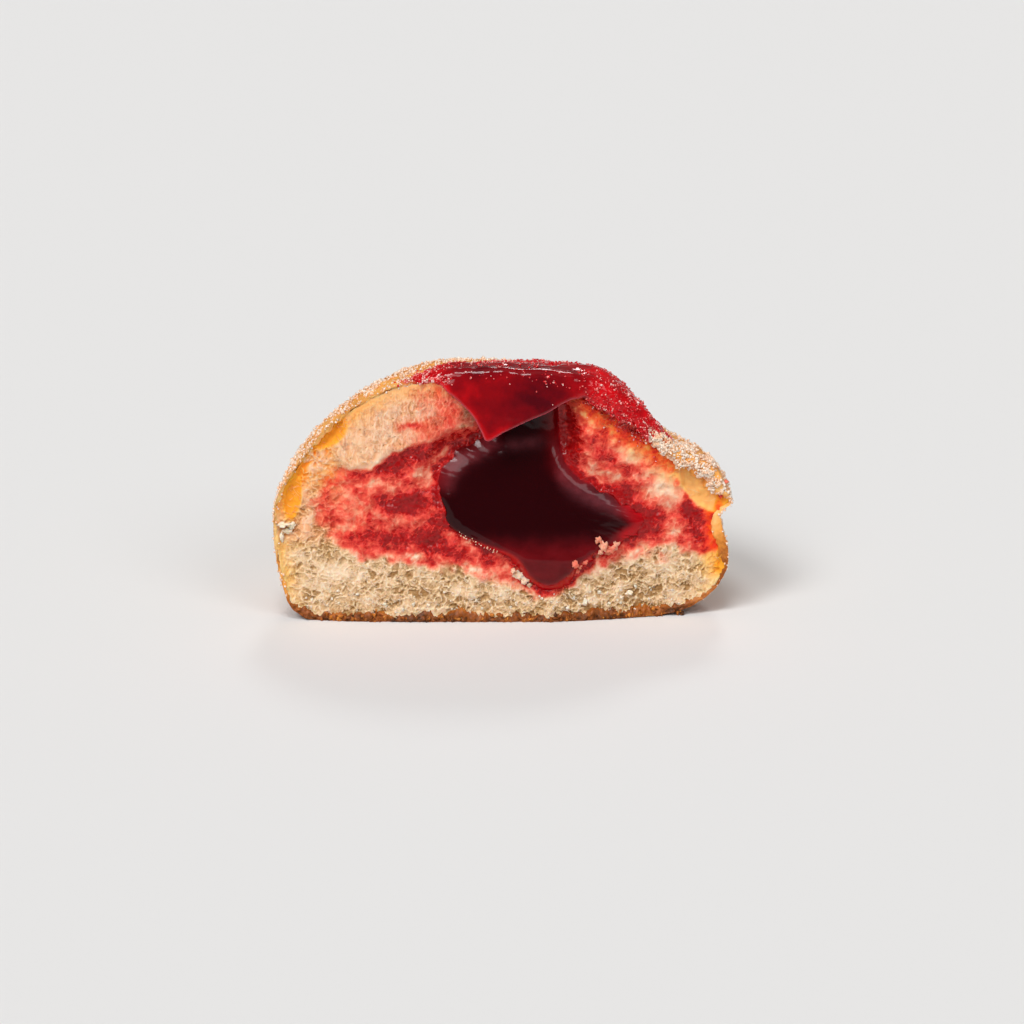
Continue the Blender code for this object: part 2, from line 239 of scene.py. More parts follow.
def grain(points, size, shift=0.0, octaves=0):
    """Smooth noise at points in millimetres, from about -1 to 1, in lumps of about that size."""
    scaled = (points / size + shift).tolist()
    if octaves:
        return np.array([noise.fractal(p, 1.0, 2.0, octaves) for p in scaled])
    return np.array([noise.noise(p) for p in scaled])


def grid_faces(rows, columns, first=0, wrap=False):
    """Quads over a grid of points that were listed row by row."""
    index = np.arange(rows * columns).reshape(rows, columns) + first
    if wrap:
        index = np.hstack([index, index[:, :1]])
    corners = (index[:-1, :-1], index[:-1, 1:], index[1:, 1:], index[1:, :-1])
    return np.stack(corners, axis=-1).reshape(-1, 4)


def band(ring, beyond):
    """Quads between two closed rings of points."""
    return np.column_stack([ring, np.roll(ring, -1), np.roll(beyond, -1), beyond])


def add_piece(name, points, faces, material, flat=False):
    """A mesh piece that rides on the doughnut. faces is a list of arrays with a face in each row."""
    faces = [np.atleast_2d(np.asarray(group, int)) for group in faces]
    corners = np.concatenate([group.ravel() for group in faces])
    sizes = np.concatenate([np.full(len(group), group.shape[1]) for group in faces])
    mesh = bpy.data.meshes.new(name)
    mesh.vertices.add(len(points))
    mesh.vertices.foreach_set("co", (points * MM + (0, CUT_Y, 0)).ravel())
    mesh.loops.add(len(corners))
    mesh.loops.foreach_set("vertex_index", corners)
    mesh.polygons.add(len(sizes))
    mesh.polygons.foreach_set("loop_start", np.concatenate([[0], np.cumsum(sizes)[:-1]]))
    mesh.update(calc_edges=True)
    mesh.validate()
    if not flat:
        mesh.shade_smooth()
    mesh.materials.append(material)
    piece = bpy.data.objects.new(name, mesh)
    bpy.context.scene.collection.objects.link(piece)
    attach(piece, "root")
    return piece


def mark(piece, **marks):
    """Stores values at a piece's points for its material, from 0 to 1. Points past their end get 0."""
    for name, values in marks.items():
        whole = np.zeros(len(piece.data.vertices), np.float32)
        whole[: len(values)] = np.clip(values, 0, 1)
        piece.data.attributes.new(name, "FLOAT", "POINT").data.foreach_set("value", whole)


CRUST_STOPS = 380
CRUST_TURNS = 215
stops = even_steps(spline(LEFT_PROFILE), CRUST_STOPS)[1:-1]
turns = np.linspace(0, math.pi, CRUST_TURNS)
skin = crust_at(stops, turns)
normals = np.cross(np.gradient(skin, axis=0), np.gradient(skin, axis=1))
normals /= np.linalg.norm(normals, axis=-1, keepdims=True)

# Low swells, wrinkles and the fine rough skin that frying leaves. The base stays flat.
flat_skin = skin.reshape(-1, 3)
rough = 0.22 * grain(flat_skin, 6.5, 3.1, octaves=3)
rough += 0.22 * np.abs(grain(flat_skin, 2.2, 7.7, octaves=2)) + 0.12 * grain(flat_skin, 0.9)
rough = rough.reshape(skin.shape[:2]) * smooth((skin[..., 2] - 0.2) / 2.5)
skin = skin + normals * rough[..., None]
skin[..., 2] = np.maximum(skin[..., 2], 0)
# The cut edge is torn in short steps, and stands forward or back by a few tenths.
torn = 0.28 * grain(flat_skin, 1.4, 5.5, octaves=3).reshape(skin.shape[:2])
skin[..., 1] += (torn - 0.1) * np.exp(-skin[..., 1] / 0.8)
skin[..., 1] += fall_back(skin[..., 0], skin[..., 1])

count = len(stops)
base_pole, crown_pole = skin.size // 3, skin.size // 3 + 1
points = np.vstack([skin.reshape(-1, 3), (0, 0, 0), (0, 0, CROWN)])
first_column = np.arange(count)
last_column = first_column + (CRUST_TURNS - 1) * count
poles = [
    [(base_pole, a, a + count) for a in range(0, base_pole - count, count)],
    [(a, crown_pole, a + count) for a in range(count - 1, base_pole - count, count)],
]
edge_ring = np.concatenate([[base_pole], first_column, [crown_pole], last_column[::-1]])
edge = points[edge_ring][:, [0, 2]]


def inward(ring):
    """Unit vectors that point into a closed outline, whose points run anticlockwise."""
    along = np.roll(ring, -3, axis=0) - np.roll(ring, 3, axis=0)
    side = np.stack([-along[:, 1], along[:, 0]], axis=1)
    return side / np.linalg.norm(side, axis=1)[:, None]


# The cut face of the crust, then its inner wall, which shows in the air pockets, then a flat back.
CRUST_THICKNESS = 1.0
FLAP_WIDTH = 2.6
BROWN_CORNER_WIDTH = 1.3
BACK_AT = 7.5
BACK_SCALE = 0.94  # the hidden back is smaller, to stay inside the round of the crust
CUT_MIDDLE = np.array((0.0, 22.0))


def drawn_in(ring, share):
    """An upright ring, drawn in towards its middle by that share of what the back is."""
    return CUT_MIDDLE + (ring - CUT_MIDDLE) * (1 + (BACK_SCALE - 1) * share)


def on_plane(x, z):
    """Points in the upright plane of the cut."""
    return np.column_stack([x, np.zeros(len(x)), z])


edge_points = on_plane(*edge.T)
thickness = CRUST_THICKNESS * (1 + 0.7 * grain(edge_points, 2.6, 1.7, octaves=3))
thickness *= 1 + 0.5 * grain(edge_points, 0.8, 4.7, octaves=2)
thickness *= 1 + 0.5 * (1 - smooth((edge[:, 1] - 0.5) / 2)) - 0.3 * smooth(edge[:, 1] / 4)
# On the upper right the knife dragged a flap of crust forward and down over the cut.
flap = smooth((edge[:, 0] - 27) / 5) * smooth((edge[:, 1] - 23.5) / 3)
thickness += FLAP_WIDTH * flap * (1 + 0.5 * grain(edge_points, 2.4, 15.0, octaves=2))
# Lower on the right the crust is thick and brown.
corner = smooth((edge[:, 1] - 9) / 4) * smooth((23 - edge[:, 1]) / 4)
thickness += BROWN_CORNER_WIDTH * smooth((edge[:, 0] - 40) / 3) * corner
rows = [points[edge_ring]]
# Each row of the cut face and the wall: how far in from the outside, as a share of the thickness,
# and how far back from the cut.
RIM_ROWS = (
    (0.12, 0.0), (0.3, 0.1), (0.5, 0.2), (0.7, 0.3), (0.88, 0.45), (1.0, 0.7), (1.1, 1.4),
    (1.15, 3.0), (1.15, BACK_AT),
)
for share, y in RIM_ROWS:
    ring = drawn_in(edge + inward(edge) * (thickness * share)[:, None], (y / BACK_AT) ** 2)
    foot = 1 - smooth((edge[:, 1] - 1) / 3)
    ragged = (0.3 + 0.5 * foot) * grain(edge_points, 0.6, 9.0 + 2 * share, octaves=2) if y < 1 else 0
    ragged = ragged - (0.9 * flap + 0.25 * foot) * math.sin(math.pi * min(share, 1.0))
    depth = y + ragged + fall_back(ring[:, 0], 0.0)
    rows.append(np.column_stack([ring[:, 0], depth, np.maximum(ring[:, 1], 0.05)]))
rim_points = np.vstack(rows[1:6])
first = len(points)
points = np.vstack([points, *rows[1:]])
numbers = [edge_ring] + [first + i * len(edge) + np.arange(len(edge)) for i in range(len(rows) - 1)]
walls = [band(ring, beyond) for ring, beyond in zip(numbers, numbers[1:])]

# Fried yeast dough: pale gold in a ring round the middle, which floated clear of the oil, golden
# brown above and below it and dark brown at the foot, with a dull oily shine.
fried_crust, tree, shader = new_material("fried_yeast_crust")
toast = add_node(tree, "Attribute", out="Fac", attribute_name="toast")
stain = add_node(tree, "Attribute", out="Fac", attribute_name="stain")
place = add_node(tree, "TexCoord", out="Object")
cloud = add_node(tree, "TexNoise", {"Vector": place, "Scale": 1000 / 7.0, "Detail": 6.0})
fleck = add_node(tree, "TexNoise", {"Vector": place, "Scale": 1000 / 0.9, "Detail": 4.0, "Roughness": 0.6})
clouded = add_node(tree, "Math", {0: cloud, 1: 0.7, 2: -0.35}, operation="MULTIPLY_ADD")
flecked = add_node(tree, "Math", {0: fleck, 1: 0.5, 2: clouded}, operation="MULTIPLY_ADD")
browned = add_node(tree, "Math", {0: toast, 1: flecked}, operation="ADD")
evened = add_node(tree, "Math", {0: browned, 1: 0.25}, operation="SUBTRACT", use_clamp=True)
browning = add_node(tree, "ValToRGB", {"Fac": evened})
BROWNING = (
    (0.0, "#FFCE86"), (0.3, "#FCB058"), (0.55, "#D88632"), (0.8, "#985018"), (1.0, "#542C0C"),
)


def set_ramp(shade, stops):
    """Sets the stops, as position and colour, of the colour ramp that a shade comes from."""
    elements = shade.node.color_ramp.elements
    for position, _ in stops[1:-1]:
        elements.new(position)
    for element, (position, colour) in zip(elements, stops):
        element.position, element.color = position, linear(colour)


set_ramp(browning, BROWNING)
stained = add_node(tree, "Mix", {0: stain, 6: browning, 7: linear("#D2281F")}, out=2, data_type="RGBA")
pores = add_node(tree, "Bump", {"Height": fleck, "Distance": 0.2 * MM, "Strength": 0.8})
set_inputs(shader, {
    "Base Color": stained, "Normal": pores,
    "Roughness": 0.45, "Specular IOR Level": 0.3,
    "Subsurface Weight": 0.2, "Subsurface Radius": (1.0, 0.5, 0.2), "Subsurface Scale": 0.8 * MM,
})

crust = add_piece(
    "fried_crust", points,
    [grid_faces(CRUST_TURNS, count), *poles, *walls, [numbers[-1]]], fried_crust,
)
height = points[:, 2]
toast = 0.42 + 0.45 * (1 - smooth((height - 0.6) / 6)) - 0.25 * hump((height - 20) / 7)
toast += 0.12 * smooth((height - 32) / 10) * smooth(points[:, 1] / 14)
toast -= 0.1 * smooth((height - 14) / 8) * (1 - smooth(points[:, 1] / 12))
brown_corner = hump((points[:, 0] - 44) / 3) * (1 - smooth((points[:, 1] - 4) / 7))
toast += 0.3 * brown_corner * (1 - smooth((height - 16) / 8))
toast[first:] -= 0.16 * smooth((height[first:] - 2.5) / 6) * (points[first:, 0] < 30)
mark(crust, toast=toast)
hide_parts("dough")
points_plan, crust_height = points[:, :2], points[:, 2]


# ---- Crumb in the cut --------------------------------------------------------------------------
# Soft white yeast crumb, sawn and partly torn open: a foam of bubbles of half a millimetre to one
# and a half. Jelly has soaked into the middle of it, and oil has yellowed it by the crust.

CRUMB_STEP = 0.19
CRUMB_TUCK = 0.5  # how far its outline lies inside the crust's
WIDE_BUBBLE, FINE_BUBBLE = 1.5, 0.6
BUBBLE_DEPTH = 0.6
JELLY_RING_STEPS = 360

# The jelly's own outline in the cut, which the crumb opens for, anticlockwise from the right lobe.
FILLING_OUTLINE = (
    (28.0, 20.5), (21.5, 25.5), (15.5, 29.0), (12.6, 32.5), (11.6, 37.0), (11.4, 43.0),
    (11.0, 54.0), (4.5, 56.0), (-1.5, 54.0), (-2.0, 44.0), (-3.6, 37.6), (-9.0, 34.6),
    (-12.4, 30.5), (-12.8, 25.5), (-10.5, 19.5), (-4.5, 15.6), (1.8, 12.8), (5.0, 8.4),
    (9.4, 6.0), (13.8, 8.6), (17.0, 11.8), (23.5, 15.0), (27.4, 17.8),
)
# The jelly's face from the side, as height and depth back from the cut: the drip, the ledge over
# it, the pool, which leans back as it rises, and the neck under the crown.
JELLY_PROFILE = (
    (4.0, 0.9), (6.0, 0.2), (8.0, -0.9), (10.5, -1.5), (12.6, -1.8), (14.2, -1.6), (15.6, -0.9),
    (17.5, -0.35), (22.0, 0.65), (27.0, 1.75), (30.5, 2.6), (33.0, 3.4), (36.0, 4.6),
    (41.0, 5.4), (46.0, 5.0), (56.0, 4.0),
)
# The soaked part, and the clean dome of crumb that hangs over it on the upper left.
SOAKED_OUTLINE = (
    (43.5, 24.0), (38.0, 32.0), (30.0, 39.5), (18.0, 47.0), (2.0, 50.0), (-6.0, 44.0),
    (-12.0, 39.0), (-19.5, 36.0), (-26.0, 33.0), (-33.0, 31.0), (-37.0, 26.0), (-36.0, 19.0),
    (-31.0, 13.6), (-20.0, 11.2), (-10.0, 10.4), (-1.0, 7.6), (8.0, 5.2), (16.0, 8.4),
    (24.0, 11.6), (34.0, 12.6), (41.0, 12.6), (44.5, 16.0),
)
DOME_OUTLINE = (
    (-8.0, 41.0), (-6.0, 46.5), (-12.0, 50.5), (-22.0, 48.5), (-29.5, 43.0), (-33.0, 37.5),
    (-33.0, 33.0), (-29.0, 30.6), (-24.5, 31.2), (-21.0, 34.6), (-14.5, 36.6), (-10.0, 38.0),
)
# Air pockets between crumb and crust: centre, half width, half height and lean, then depth, and
# how yellow the oil has left them.
POCKETS = (
    (((-33.6, 38.4), 2.0, 3.7, -46), 1.4, 1.0),
    (((-41.2, 25.0), 1.6, 4.4, -8), 1.1, 1.0),
    (((38.6, 26.8), 2.6, 5.6, 30), 1.3, 0.8),
)


def inside_by(x, z, ring):
    """How far points lie inside a closed outline. Outside it's negative."""
    nearest = np.full(x.shape, np.inf)
    odd = np.zeros(x.shape, bool)
    for (ax, az), (bx, bz) in zip(ring, np.roll(ring, -1, axis=0)):
        dx, dz = bx - ax, bz - az
        along = np.clip(((x - ax) * dx + (z - az) * dz) / (dx * dx + dz * dz), 0, 1)
        nearest = np.minimum(nearest, (x - ax - along * dx) ** 2 + (z - az - along * dz) ** 2)
        if dz:
            odd ^= ((az > z) != (bz > z)) & (x < ax + (z - az) * dx / dz)
    return np.where(odd, 1, -1) * np.sqrt(nearest)


def ring_of(outline, steps=120):
    return spline(outline, closed=True)(np.arange(steps) / steps)


def jelly_depth(x, z, rim):
    """Depth of the jelly's face before its ripples. rim is how far in from its outline a point lies."""
    side = spline(JELLY_PROFILE)(np.linspace(0, 1, 600))
    face = np.interp(z + 0.06 * (x - 6), side[:, 0], side[:, 1])
    face -= 0.6 * smooth((x - 9) / 14) * smooth((z - 12) / 14) * (1 - smooth((z - 30) / 6))
    roll = 2.4 + 4.2 * smooth((z - 24) / 6) * (1 - smooth((x + 1) / 9))
    return face + np.maximum(1.3, 0.75 - face) * np.maximum(0, 1 - rim / roll) ** 2


def foam(x, z, size, seed):
    """A foam of bubbles about that size: 0 on a wall up to 1 inside, and a number for each bubble."""
    tile = np.random.default_rng(seed).random((97, 97, 3))
    column, row = np.floor(x / size).astype(int), np.floor(z / size).astype(int)
    nearest, second, own = (np.full(x.shape, v) for v in (9.0, 9.0, 0.0))
    for i in (-1, 0, 1):
        for j in (-1, 0, 1):
            seat = tile[(column + i) % 97, (row + j) % 97]
            away = np.hypot(x / size - column - i - seat[:, 0], z / size - row - j - seat[:, 1])
            away *= 0.75 + 0.6 * seat[:, 2]
            second = np.minimum(second, np.maximum(away, nearest))
            own = np.where(away < nearest, seat[:, 2] * 7.31 % 1, own)
            nearest = np.minimum(nearest, away)
    return 1 - hump((second - nearest) / 0.17), own


def oval(spot, centre, half_width, half_height, lean):
    """The square of how far points are from the middle of an oval, where 1 is on its edge."""
    c, s = math.cos(math.radians(lean)), math.sin(math.radians(lean))
    dx, dz = (spot - centre).T
    return ((dx * c + dz * s) / half_width) ** 2 + ((dz * c - dx * s) / half_height) ** 2


def blot(spot, at):
    """A soft oval. at is its centre, half width, half height, lean in degrees and strength."""
    *place, strength = at
    return strength * np.exp(-oval(spot, *place))


across = np.arange(-46, 46, CRUMB_STEP)
up = np.arange(0.1, 52, CRUMB_STEP)
x, z = (grid.ravel() for grid in np.meshgrid(across, up))
in_crust = inside_by(x, z, edge[::2])
kept = in_crust > CRUMB_TUCK - CRUMB_STEP
x, z, in_crust = x[kept], z[kept], in_crust[kept]
spot = on_plane(x, z)
wander = np.column_stack([grain(spot, 3.2, 11.0, 2), grain(spot, 3.2, 23.0, 2)]) * 2.2
strayed = np.column_stack([x, z]) + 0.5 * wander
in_soaked = inside_by(*(strayed + 0.5 * wander).T, ring_of(SOAKED_OUTLINE))
in_dome = inside_by(*(strayed - 0.2 * wander).T, ring_of(DOME_OUTLINE))
smooth_ring = ring_of(FILLING_OUTLINE, JELLY_RING_STEPS)
ring_spots = on_plane(*smooth_ring.T)
frayed = 0.9 + 1.3 * smooth((smooth_ring[:, 0] - 15) / 8)
frays = np.column_stack([grain(ring_spots, 2.8, shift, 3) for shift in (3.0, 13.0)])
jelly_ring = smooth_ring + frayed[:, None] * frays
in_filling = inside_by(x, z, jelly_ring[::2])
dome = smooth((in_dome + 0.5) / 1.5)
soaked = smooth((in_soaked + 1) / 3)

# The relief, as a depth back from the cut: slow unevenness, torn lumps, and the overhanging dome.
floor = 0.5 + 0.3 * grain(spot, 7.0, 2.0) + 0.2 * grain(spot, 2.4, 6.0, 2)
floor += soaked * (0.35 + 0.5 * grain(spot, 3.3, 14.0, 2) + 0.25 * grain(spot, 1.5, 16.0, 2)) - 0.55 * dome
beside_jelly = smooth((in_filling + 5) / 5) * smooth((z - 22) / 6)
floor += beside_jelly * (jelly_depth(x, z, 0.0) - 0.5 - floor) * (in_filling < 4)

# Bubbles: walls that waver, tall ones in the dome, flat ones near the base. Each lies open or shut.
tall = 1 + 0.6 * dome
wx, wz = x * tall + 0.24 * grain(spot, 0.8, 31.0), z / tall + 0.24 * grain(spot, 0.8, 37.0)
wide, wide_own = foam(wx + 0.6 * wander[:, 0], wz * 1.15 + 0.6 * wander[:, 1], WIDE_BUBBLE, 21)
fine, fine_own = foam(wx, wz, FINE_BUBBLE, 22)
wide *= np.clip(1.1 + 0.5 * grain(spot, 1.7, 71.0, 2), 0, 1)
wide = 1 - (1 - wide) * np.clip(0.9 + 0.9 * grain(spot, 1.1, 73.0, 2), 0.25, 1)
openness = 1.0 - 0.6 * soaked - 0.5 * dome + 0.3 * smooth((-x - 29) / 4) * smooth((z - 14) / 4)
openness *= smooth((in_crust - 0.3) / 0.8) * (0.8 + 0.7 * grain(spot, 4.0, 50.0, 2))
holes = wide * (0.3 + 0.7 * wide_own) + 0.55 * fine * (0.35 + 0.65 * fine_own)
# The pit value sets how deep each bubble goes, and also how dark its colour is painted: painted shade in the
# bubbles.
pit = np.clip(openness, 0.1, 1.4) * holes * (1 - 0.2 * smooth((-x - 26) / 4))
# Threads of crumb that the tear pulled out stand up from it.
threads = 1 - np.abs(grain(spot * (2.4, 1, 0.55), 1.0, 41.0, 2))
pit -= 0.25 * np.clip(threads - 0.86, 0, 0.14) / 0.14 * (0.35 + 0.65 * dome)
# On the left the crumb bursts out in pale rays between two air pockets.
burst_x, burst_z = x + 36.6, z - 33.0
rays = 0.5 + 0.5 * np.cos(6 * np.arctan2(burst_z, burst_x) + 0.8 * wander[:, 0])
burst = (0.25 + 0.75 * rays) * np.exp(-((np.hypot(burst_x, burst_z * 1.2) / 3.0) ** 4))
pit = pit * (1 - 0.6 * burst) - 0.15 * burst
# A few pinholes go right in.
pinholes = np.random.default_rng(8).random(len(x)) < 0.006 * (1 - soaked) * smooth((in_crust - 2) / 2)
pit[pinholes] += 0.6
depth = np.maximum(floor + BUBBLE_DEPTH * pit + 0.04 * grain(spot, 0.4, 3.0), 0.0)

# Oil has yellowed the crumb next to the crust, most of all on the left and over the dome.
by_crust = 1 - smooth((in_crust - 0.8 - 1.0 * (grain(spot, 2.0, 60.0, 2) + 0.4)) / 2.2)
fried = 0.5 * by_crust * (0.2 + 0.8 * smooth((z - 3) / 5))
fried += dome * (0.13 + 0.63 * smooth((5.0 - in_crust + 0.3 * wander[:, 1]) / 4.2) - 0.6 * by_crust)
fried += (0.2 + 0.6 * wide) * smooth((-x - 29.5 - 0.4 * wander[:, 0]) / 5) * smooth((z - 24) / 7) * (1 - dome)
fried += 0.2 * smooth((-x - 37) / 5) + 0.8 * smooth((x - 37.5) / 3.5) * smooth((z - 6) / 5)
fried += 0.9 * smooth((x - 11) / 6) * smooth((z + 0.75 * x - 49) / 7)
fried += 0.16 * smooth((-x - 22) / 8) * smooth((z - 13) / 4)
# The rays stay white, and so does a tuft lower on the left.
fried *= 1 - 0.9 * burst - 0.8 * blot(strayed, ((-43.0, 19.0), 2.2, 2.2, 0, 1.0))

# Jelly soaks in unevenly: it fills some bubbles and leaves other crumb pink or pale. These are
# the wettest places and the palest, each with its centre, half sizes, lean and strength.
DEEP_STAINS = (
    ((-21.5, 32.6), 8.5, 1.7, 20, 0.7), ((-19.0, 24.0), 4.6, 1.9, 8, 1.0),
    ((-22.0, 16.5), 9.0, 2.4, -4, 0.35), ((-12.5, 20.5), 2.6, 3.4, 20, 0.3),
    ((-9.0, 14.0), 7.0, 1.6, -12, 0.35), ((-18.2, 40.3), 2.4, 0.9, 4, 0.7),
    ((13.6, 36.0), 1.6, 9.0, 0, 0.45), ((23.0, 21.5), 4.0, 3.0, 0, 0.3),
    ((22.0, 33.0), 6.0, 2.0, -40, 0.25), ((31.5, 20.5), 6.0, 1.6, 5, 0.3),
    ((40.0, 17.0), 1.4, 3.0, 0, 0.4), ((36.0, 32.0), 1.4, 1.6, 0, 0.5),
    ((-14.0, 35.0), 5.0, 1.4, 35, 0.3),
    ((37.2, 20.5), 1.8, 4.0, -6, 0.4), ((27.0, 20.0), 3.6, 2.6, 10, 0.7),
    ((24.0, 25.5), 2.6, 1.8, -30, 0.5), ((26.5, 15.4), 3.5, 1.0, 12, 0.5),
    ((-15.5, 17.5), 5.0, 1.6, -10, 0.35), ((13.4, 40.0), 0.5, 3.4, 6, 0.6),
    ((21.5, 42.0), 8.0, 1.8, -38, 0.45),
)
PALE_SPOTS = (
    ((-31.0, 23.5), 3.0, 5.0, 10, 0.6), ((-14.5, 30.5), 2.0, 2.2, 0, 0.45),
    ((31.5, 27.0), 3.0, 4.8, 15, 0.95), ((25.5, 32.7), 2.8, 1.6, 0, 0.75),
    ((-25.0, 28.0), 3.4, 1.6, 0, 0.35), ((20.0, 28.5), 2.4, 1.6, 0, 0.35),
    ((-20.0, 19.5), 1.4, 2.2, -20, 0.3), ((28.0, 15.5), 3.0, 1.6, 0, 0.3),
    ((-33.5, 30.0), 2.5, 2.0, 0, 0.7),
)
patches = grain(spot, 4.0, 4.0, 3) + 0.7 * grain(spot, 1.4, 8.0, 3)
soak = smooth((in_soaked + 0.8) / 3.2) * (0.42 + 0.33 * patches)
soak -= 0.1 * smooth((x - 13) / 3) * smooth((z + 0.6 * x - 46) / 5) * soaked
soak += soaked * sum(blot(strayed, stain) for stain in DEEP_STAINS)
soak *= 1 - np.clip(sum(blot(strayed, pale) for pale in PALE_SPOTS), 0, 0.95)
# The dome stays clean but for its right side, next to the jelly, and one spot.
dome_soak = 0.28 * smooth((x + 22 + 0.3 * (40 - z) + 1.4 * patches) / 12) * (1 + 0.4 * patches)
dome_soak += blot(strayed, ((-18.2, 40.3), 2.4, 0.8, 4, 0.42)) + 0.06
soak += (dome_soak - soak) * dome
soak += 0.07 * smooth((-x - 28) / 4) * smooth((z - 14) / 4) * (1 - dome)
soak += 0.5 * smooth((in_filling + 1.4 + 0.5 * patches) / 1.4)
soak *= 1 + 0.6 * (np.clip(holes, 0, 1) - 0.4)

# The crumb turns in where the jelly lies, and the air pockets lie deep beside the crust.
depth += (0.35 - 0.2 * dome - depth) * (1 - smooth((in_crust - 0.4) / 1.2))
cavity = np.minimum(np.maximum(jelly_depth(x, z, 9.0) + 1.2, 3.8), BACK_AT - 0.7)
depth += np.maximum(cavity - depth, 0) * smooth((in_filling - 0.2) / 1.5)
for outline, hollow, yellow in POCKETS:
    away = np.sqrt(oval(spot[:, [0, 2]], *outline)) + 0.1 * grain(spot, 1.6, 5.0, 2)
    in_pocket = smooth((1.12 - away) / 0.35)
    depth += in_pocket * (hollow * np.sqrt(np.clip(1 - 0.8 * away**2, 0, 1)) - 0.8 * pit)
    pit *= 1 - in_pocket
    fried += (yellow - fried) * smooth((1.35 - away) / 0.4)
    soak *= 1 - smooth((1.3 - away) / 0.3)

# The face is closed by walls round its outline and a flat back.
seats = np.full((len(up), len(across)), -1)
row, column = ((v - v0) / CRUMB_STEP for v, v0 in ((z, up[0]), (x, across[0])))
seats[np.round(row).astype(int), np.round(column).astype(int)] = np.arange(len(x))
cells = np.stack([seats[:-1, :-1], seats[:-1, 1:], seats[1:, 1:], seats[1:, :-1]], axis=-1)
cells = cells.reshape(-1, 4)
cells = cells[(cells >= 0).all(axis=1)]
sides = np.concatenate([cells[:, [i, (i + 1) % 4]] for i in range(4)])
code = sides[:, 0] * len(x) + sides[:, 1]
alone = sides[~np.isin(code, sides[:, 1] * len(x) + sides[:, 0])]
follow = dict(alone.tolist())
loop = [int(alone[0, 0])]
while len(loop) < len(alone):
    loop.append(follow[loop[-1]])
loop = np.array(loop)
behind = len(x) + np.arange(len(loop))
face = np.column_stack([x, depth + fall_back(x, 0.0), z])
back_ring = drawn_in(np.column_stack([x[loop], z[loop]]), 1.0)
back = np.column_stack([back_ring[:, 0], BACK_AT - 0.3 + fall_back(x[loop], 0.0), back_ring[:, 1]])
wall = band(loop, behind)[:, ::-1]

# Bread crumb: cream, matt and soft, with light passing through its thin walls, so that shadows in the
# bubbles stay warm. Its colour is painted darker in the bubbles by the pit mark: painted shade.
# Berry juice dyes it as it would cloth, from pink through red to wet wine.
bread_crumb, tree, shader = new_material("white_yeast_crumb")
pit_share = add_node(tree, "Attribute", out="Fac", attribute_name="pit")
soaked_share = add_node(tree, "Attribute", out="Fac", attribute_name="soak")
oiled_share = add_node(tree, "Attribute", out="Fac", attribute_name="fried")
place = add_node(tree, "TexCoord", out="Object")
fibre = add_node(tree, "TexNoise", {"Vector": place, "Scale": 1000 / 0.6, "Detail": 5.0, "Roughness": 0.6})
tinge = add_node(tree, "TexNoise", {"Vector": place, "Scale": 1000 / 3.5, "Detail": 3.0})
depth_in_foam = add_node(tree, "Math", {0: tinge, 1: 0.24, 2: -0.12}, operation="MULTIPLY_ADD")
shade = add_node(tree, "Math", {0: pit_share, 1: depth_in_foam}, operation="ADD", use_clamp=True)
# The colour darkens from cream to tan as the pit mark grows: painted shade in the bubbles, on top of their
# real relief.
crumb_tone_and_pit_shade = add_node(tree, "ValToRGB", {"Fac": shade})
set_ramp(crumb_tone_and_pit_shade, ((0.0, "#FCEEDA"), (0.2, "#F8E0C2"), (0.5, "#E9C69C"), (1.0, "#B08654")))
light_oil = add_node(tree, "MapRange", {"Value": oiled_share, "From Max": 0.7, "To Max": 0.8})
heavy_oil = add_node(tree, "MapRange", {"Value": oiled_share, "From Min": 0.65, "From Max": 1.0})
yellowed = add_node(tree, "Mix", {
    0: light_oil, 6: crumb_tone_and_pit_shade, 7: linear("#FFC978"),
}, out=2, data_type="RGBA")
oiled = add_node(tree, "Mix", {0: heavy_oil, 6: yellowed, 7: linear("#FFA62A")}, out=2, data_type="RGBA")
mottled = add_node(tree, "Math", {0: fibre, 1: 0.6, 2: 0.7}, operation="MULTIPLY_ADD")
juice = add_node(tree, "Math", {0: soaked_share, 1: mottled}, operation="MULTIPLY", use_clamp=True)
dye = add_node(tree, "ValToRGB", {"Fac": juice})
DYE_STRENGTHS = (
    (0.0, "#FFFFFF"), (0.15, "#FFD0C8"), (0.3, "#FC9C92"),
    (0.5, "#F0605A"), (0.75, "#D62A2C"), (1.0, "#A60C16"),
)
set_ramp(dye, DYE_STRENGTHS)
dyed = add_node(tree, "Mix", {0: 1.0, 6: oiled, 7: dye}, out=2, data_type="RGBA", blend_type="MULTIPLY")
wetness = add_node(tree, "MapRange", {
    "Value": juice, "From Min": 0.5, "From Max": 0.85, "To Min": 0.75, "To Max": 0.15,
})
fuzz = add_node(tree, "Bump", {"Height": fibre, "Distance": 0.12 * MM, "Strength": 0.6})
set_inputs(shader, {
    "Base Color": dyed, "Normal": fuzz,
    "Roughness": wetness, "Specular IOR Level": 0.3,
    "Subsurface Weight": 0.65, "Subsurface Radius": (1.0, 0.7, 0.45), "Subsurface Scale": 0.9 * MM,
})

crumb = add_piece(
    "cut_crumb", np.vstack([face, back]), [cells, wall, [behind[::-1]]], bread_crumb
)
# The pit mark paints shade into the bubbles, weaker where juice fills them.
mark(crumb, pit=0.12 + pit * (1 - 0.4 * soaked), soak=soak, fried=fried)
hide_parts("dough")


# ---- Crumb threads -----------------------------------------------------------------------------
# Threads of gluten that the knife and the tear pulled out of the bubbles' walls. They are a few
# hundredths of a millimetre thick, drawn at a tenth or so, so that they show.

THREADS = 1500
THREAD_STEPS = 6


def pick(luck, count, chance):
    """Draws so many places at random, each as likely as its chance says."""
    return luck.choice(chance.size, count, p=(chance / chance.sum()).ravel())


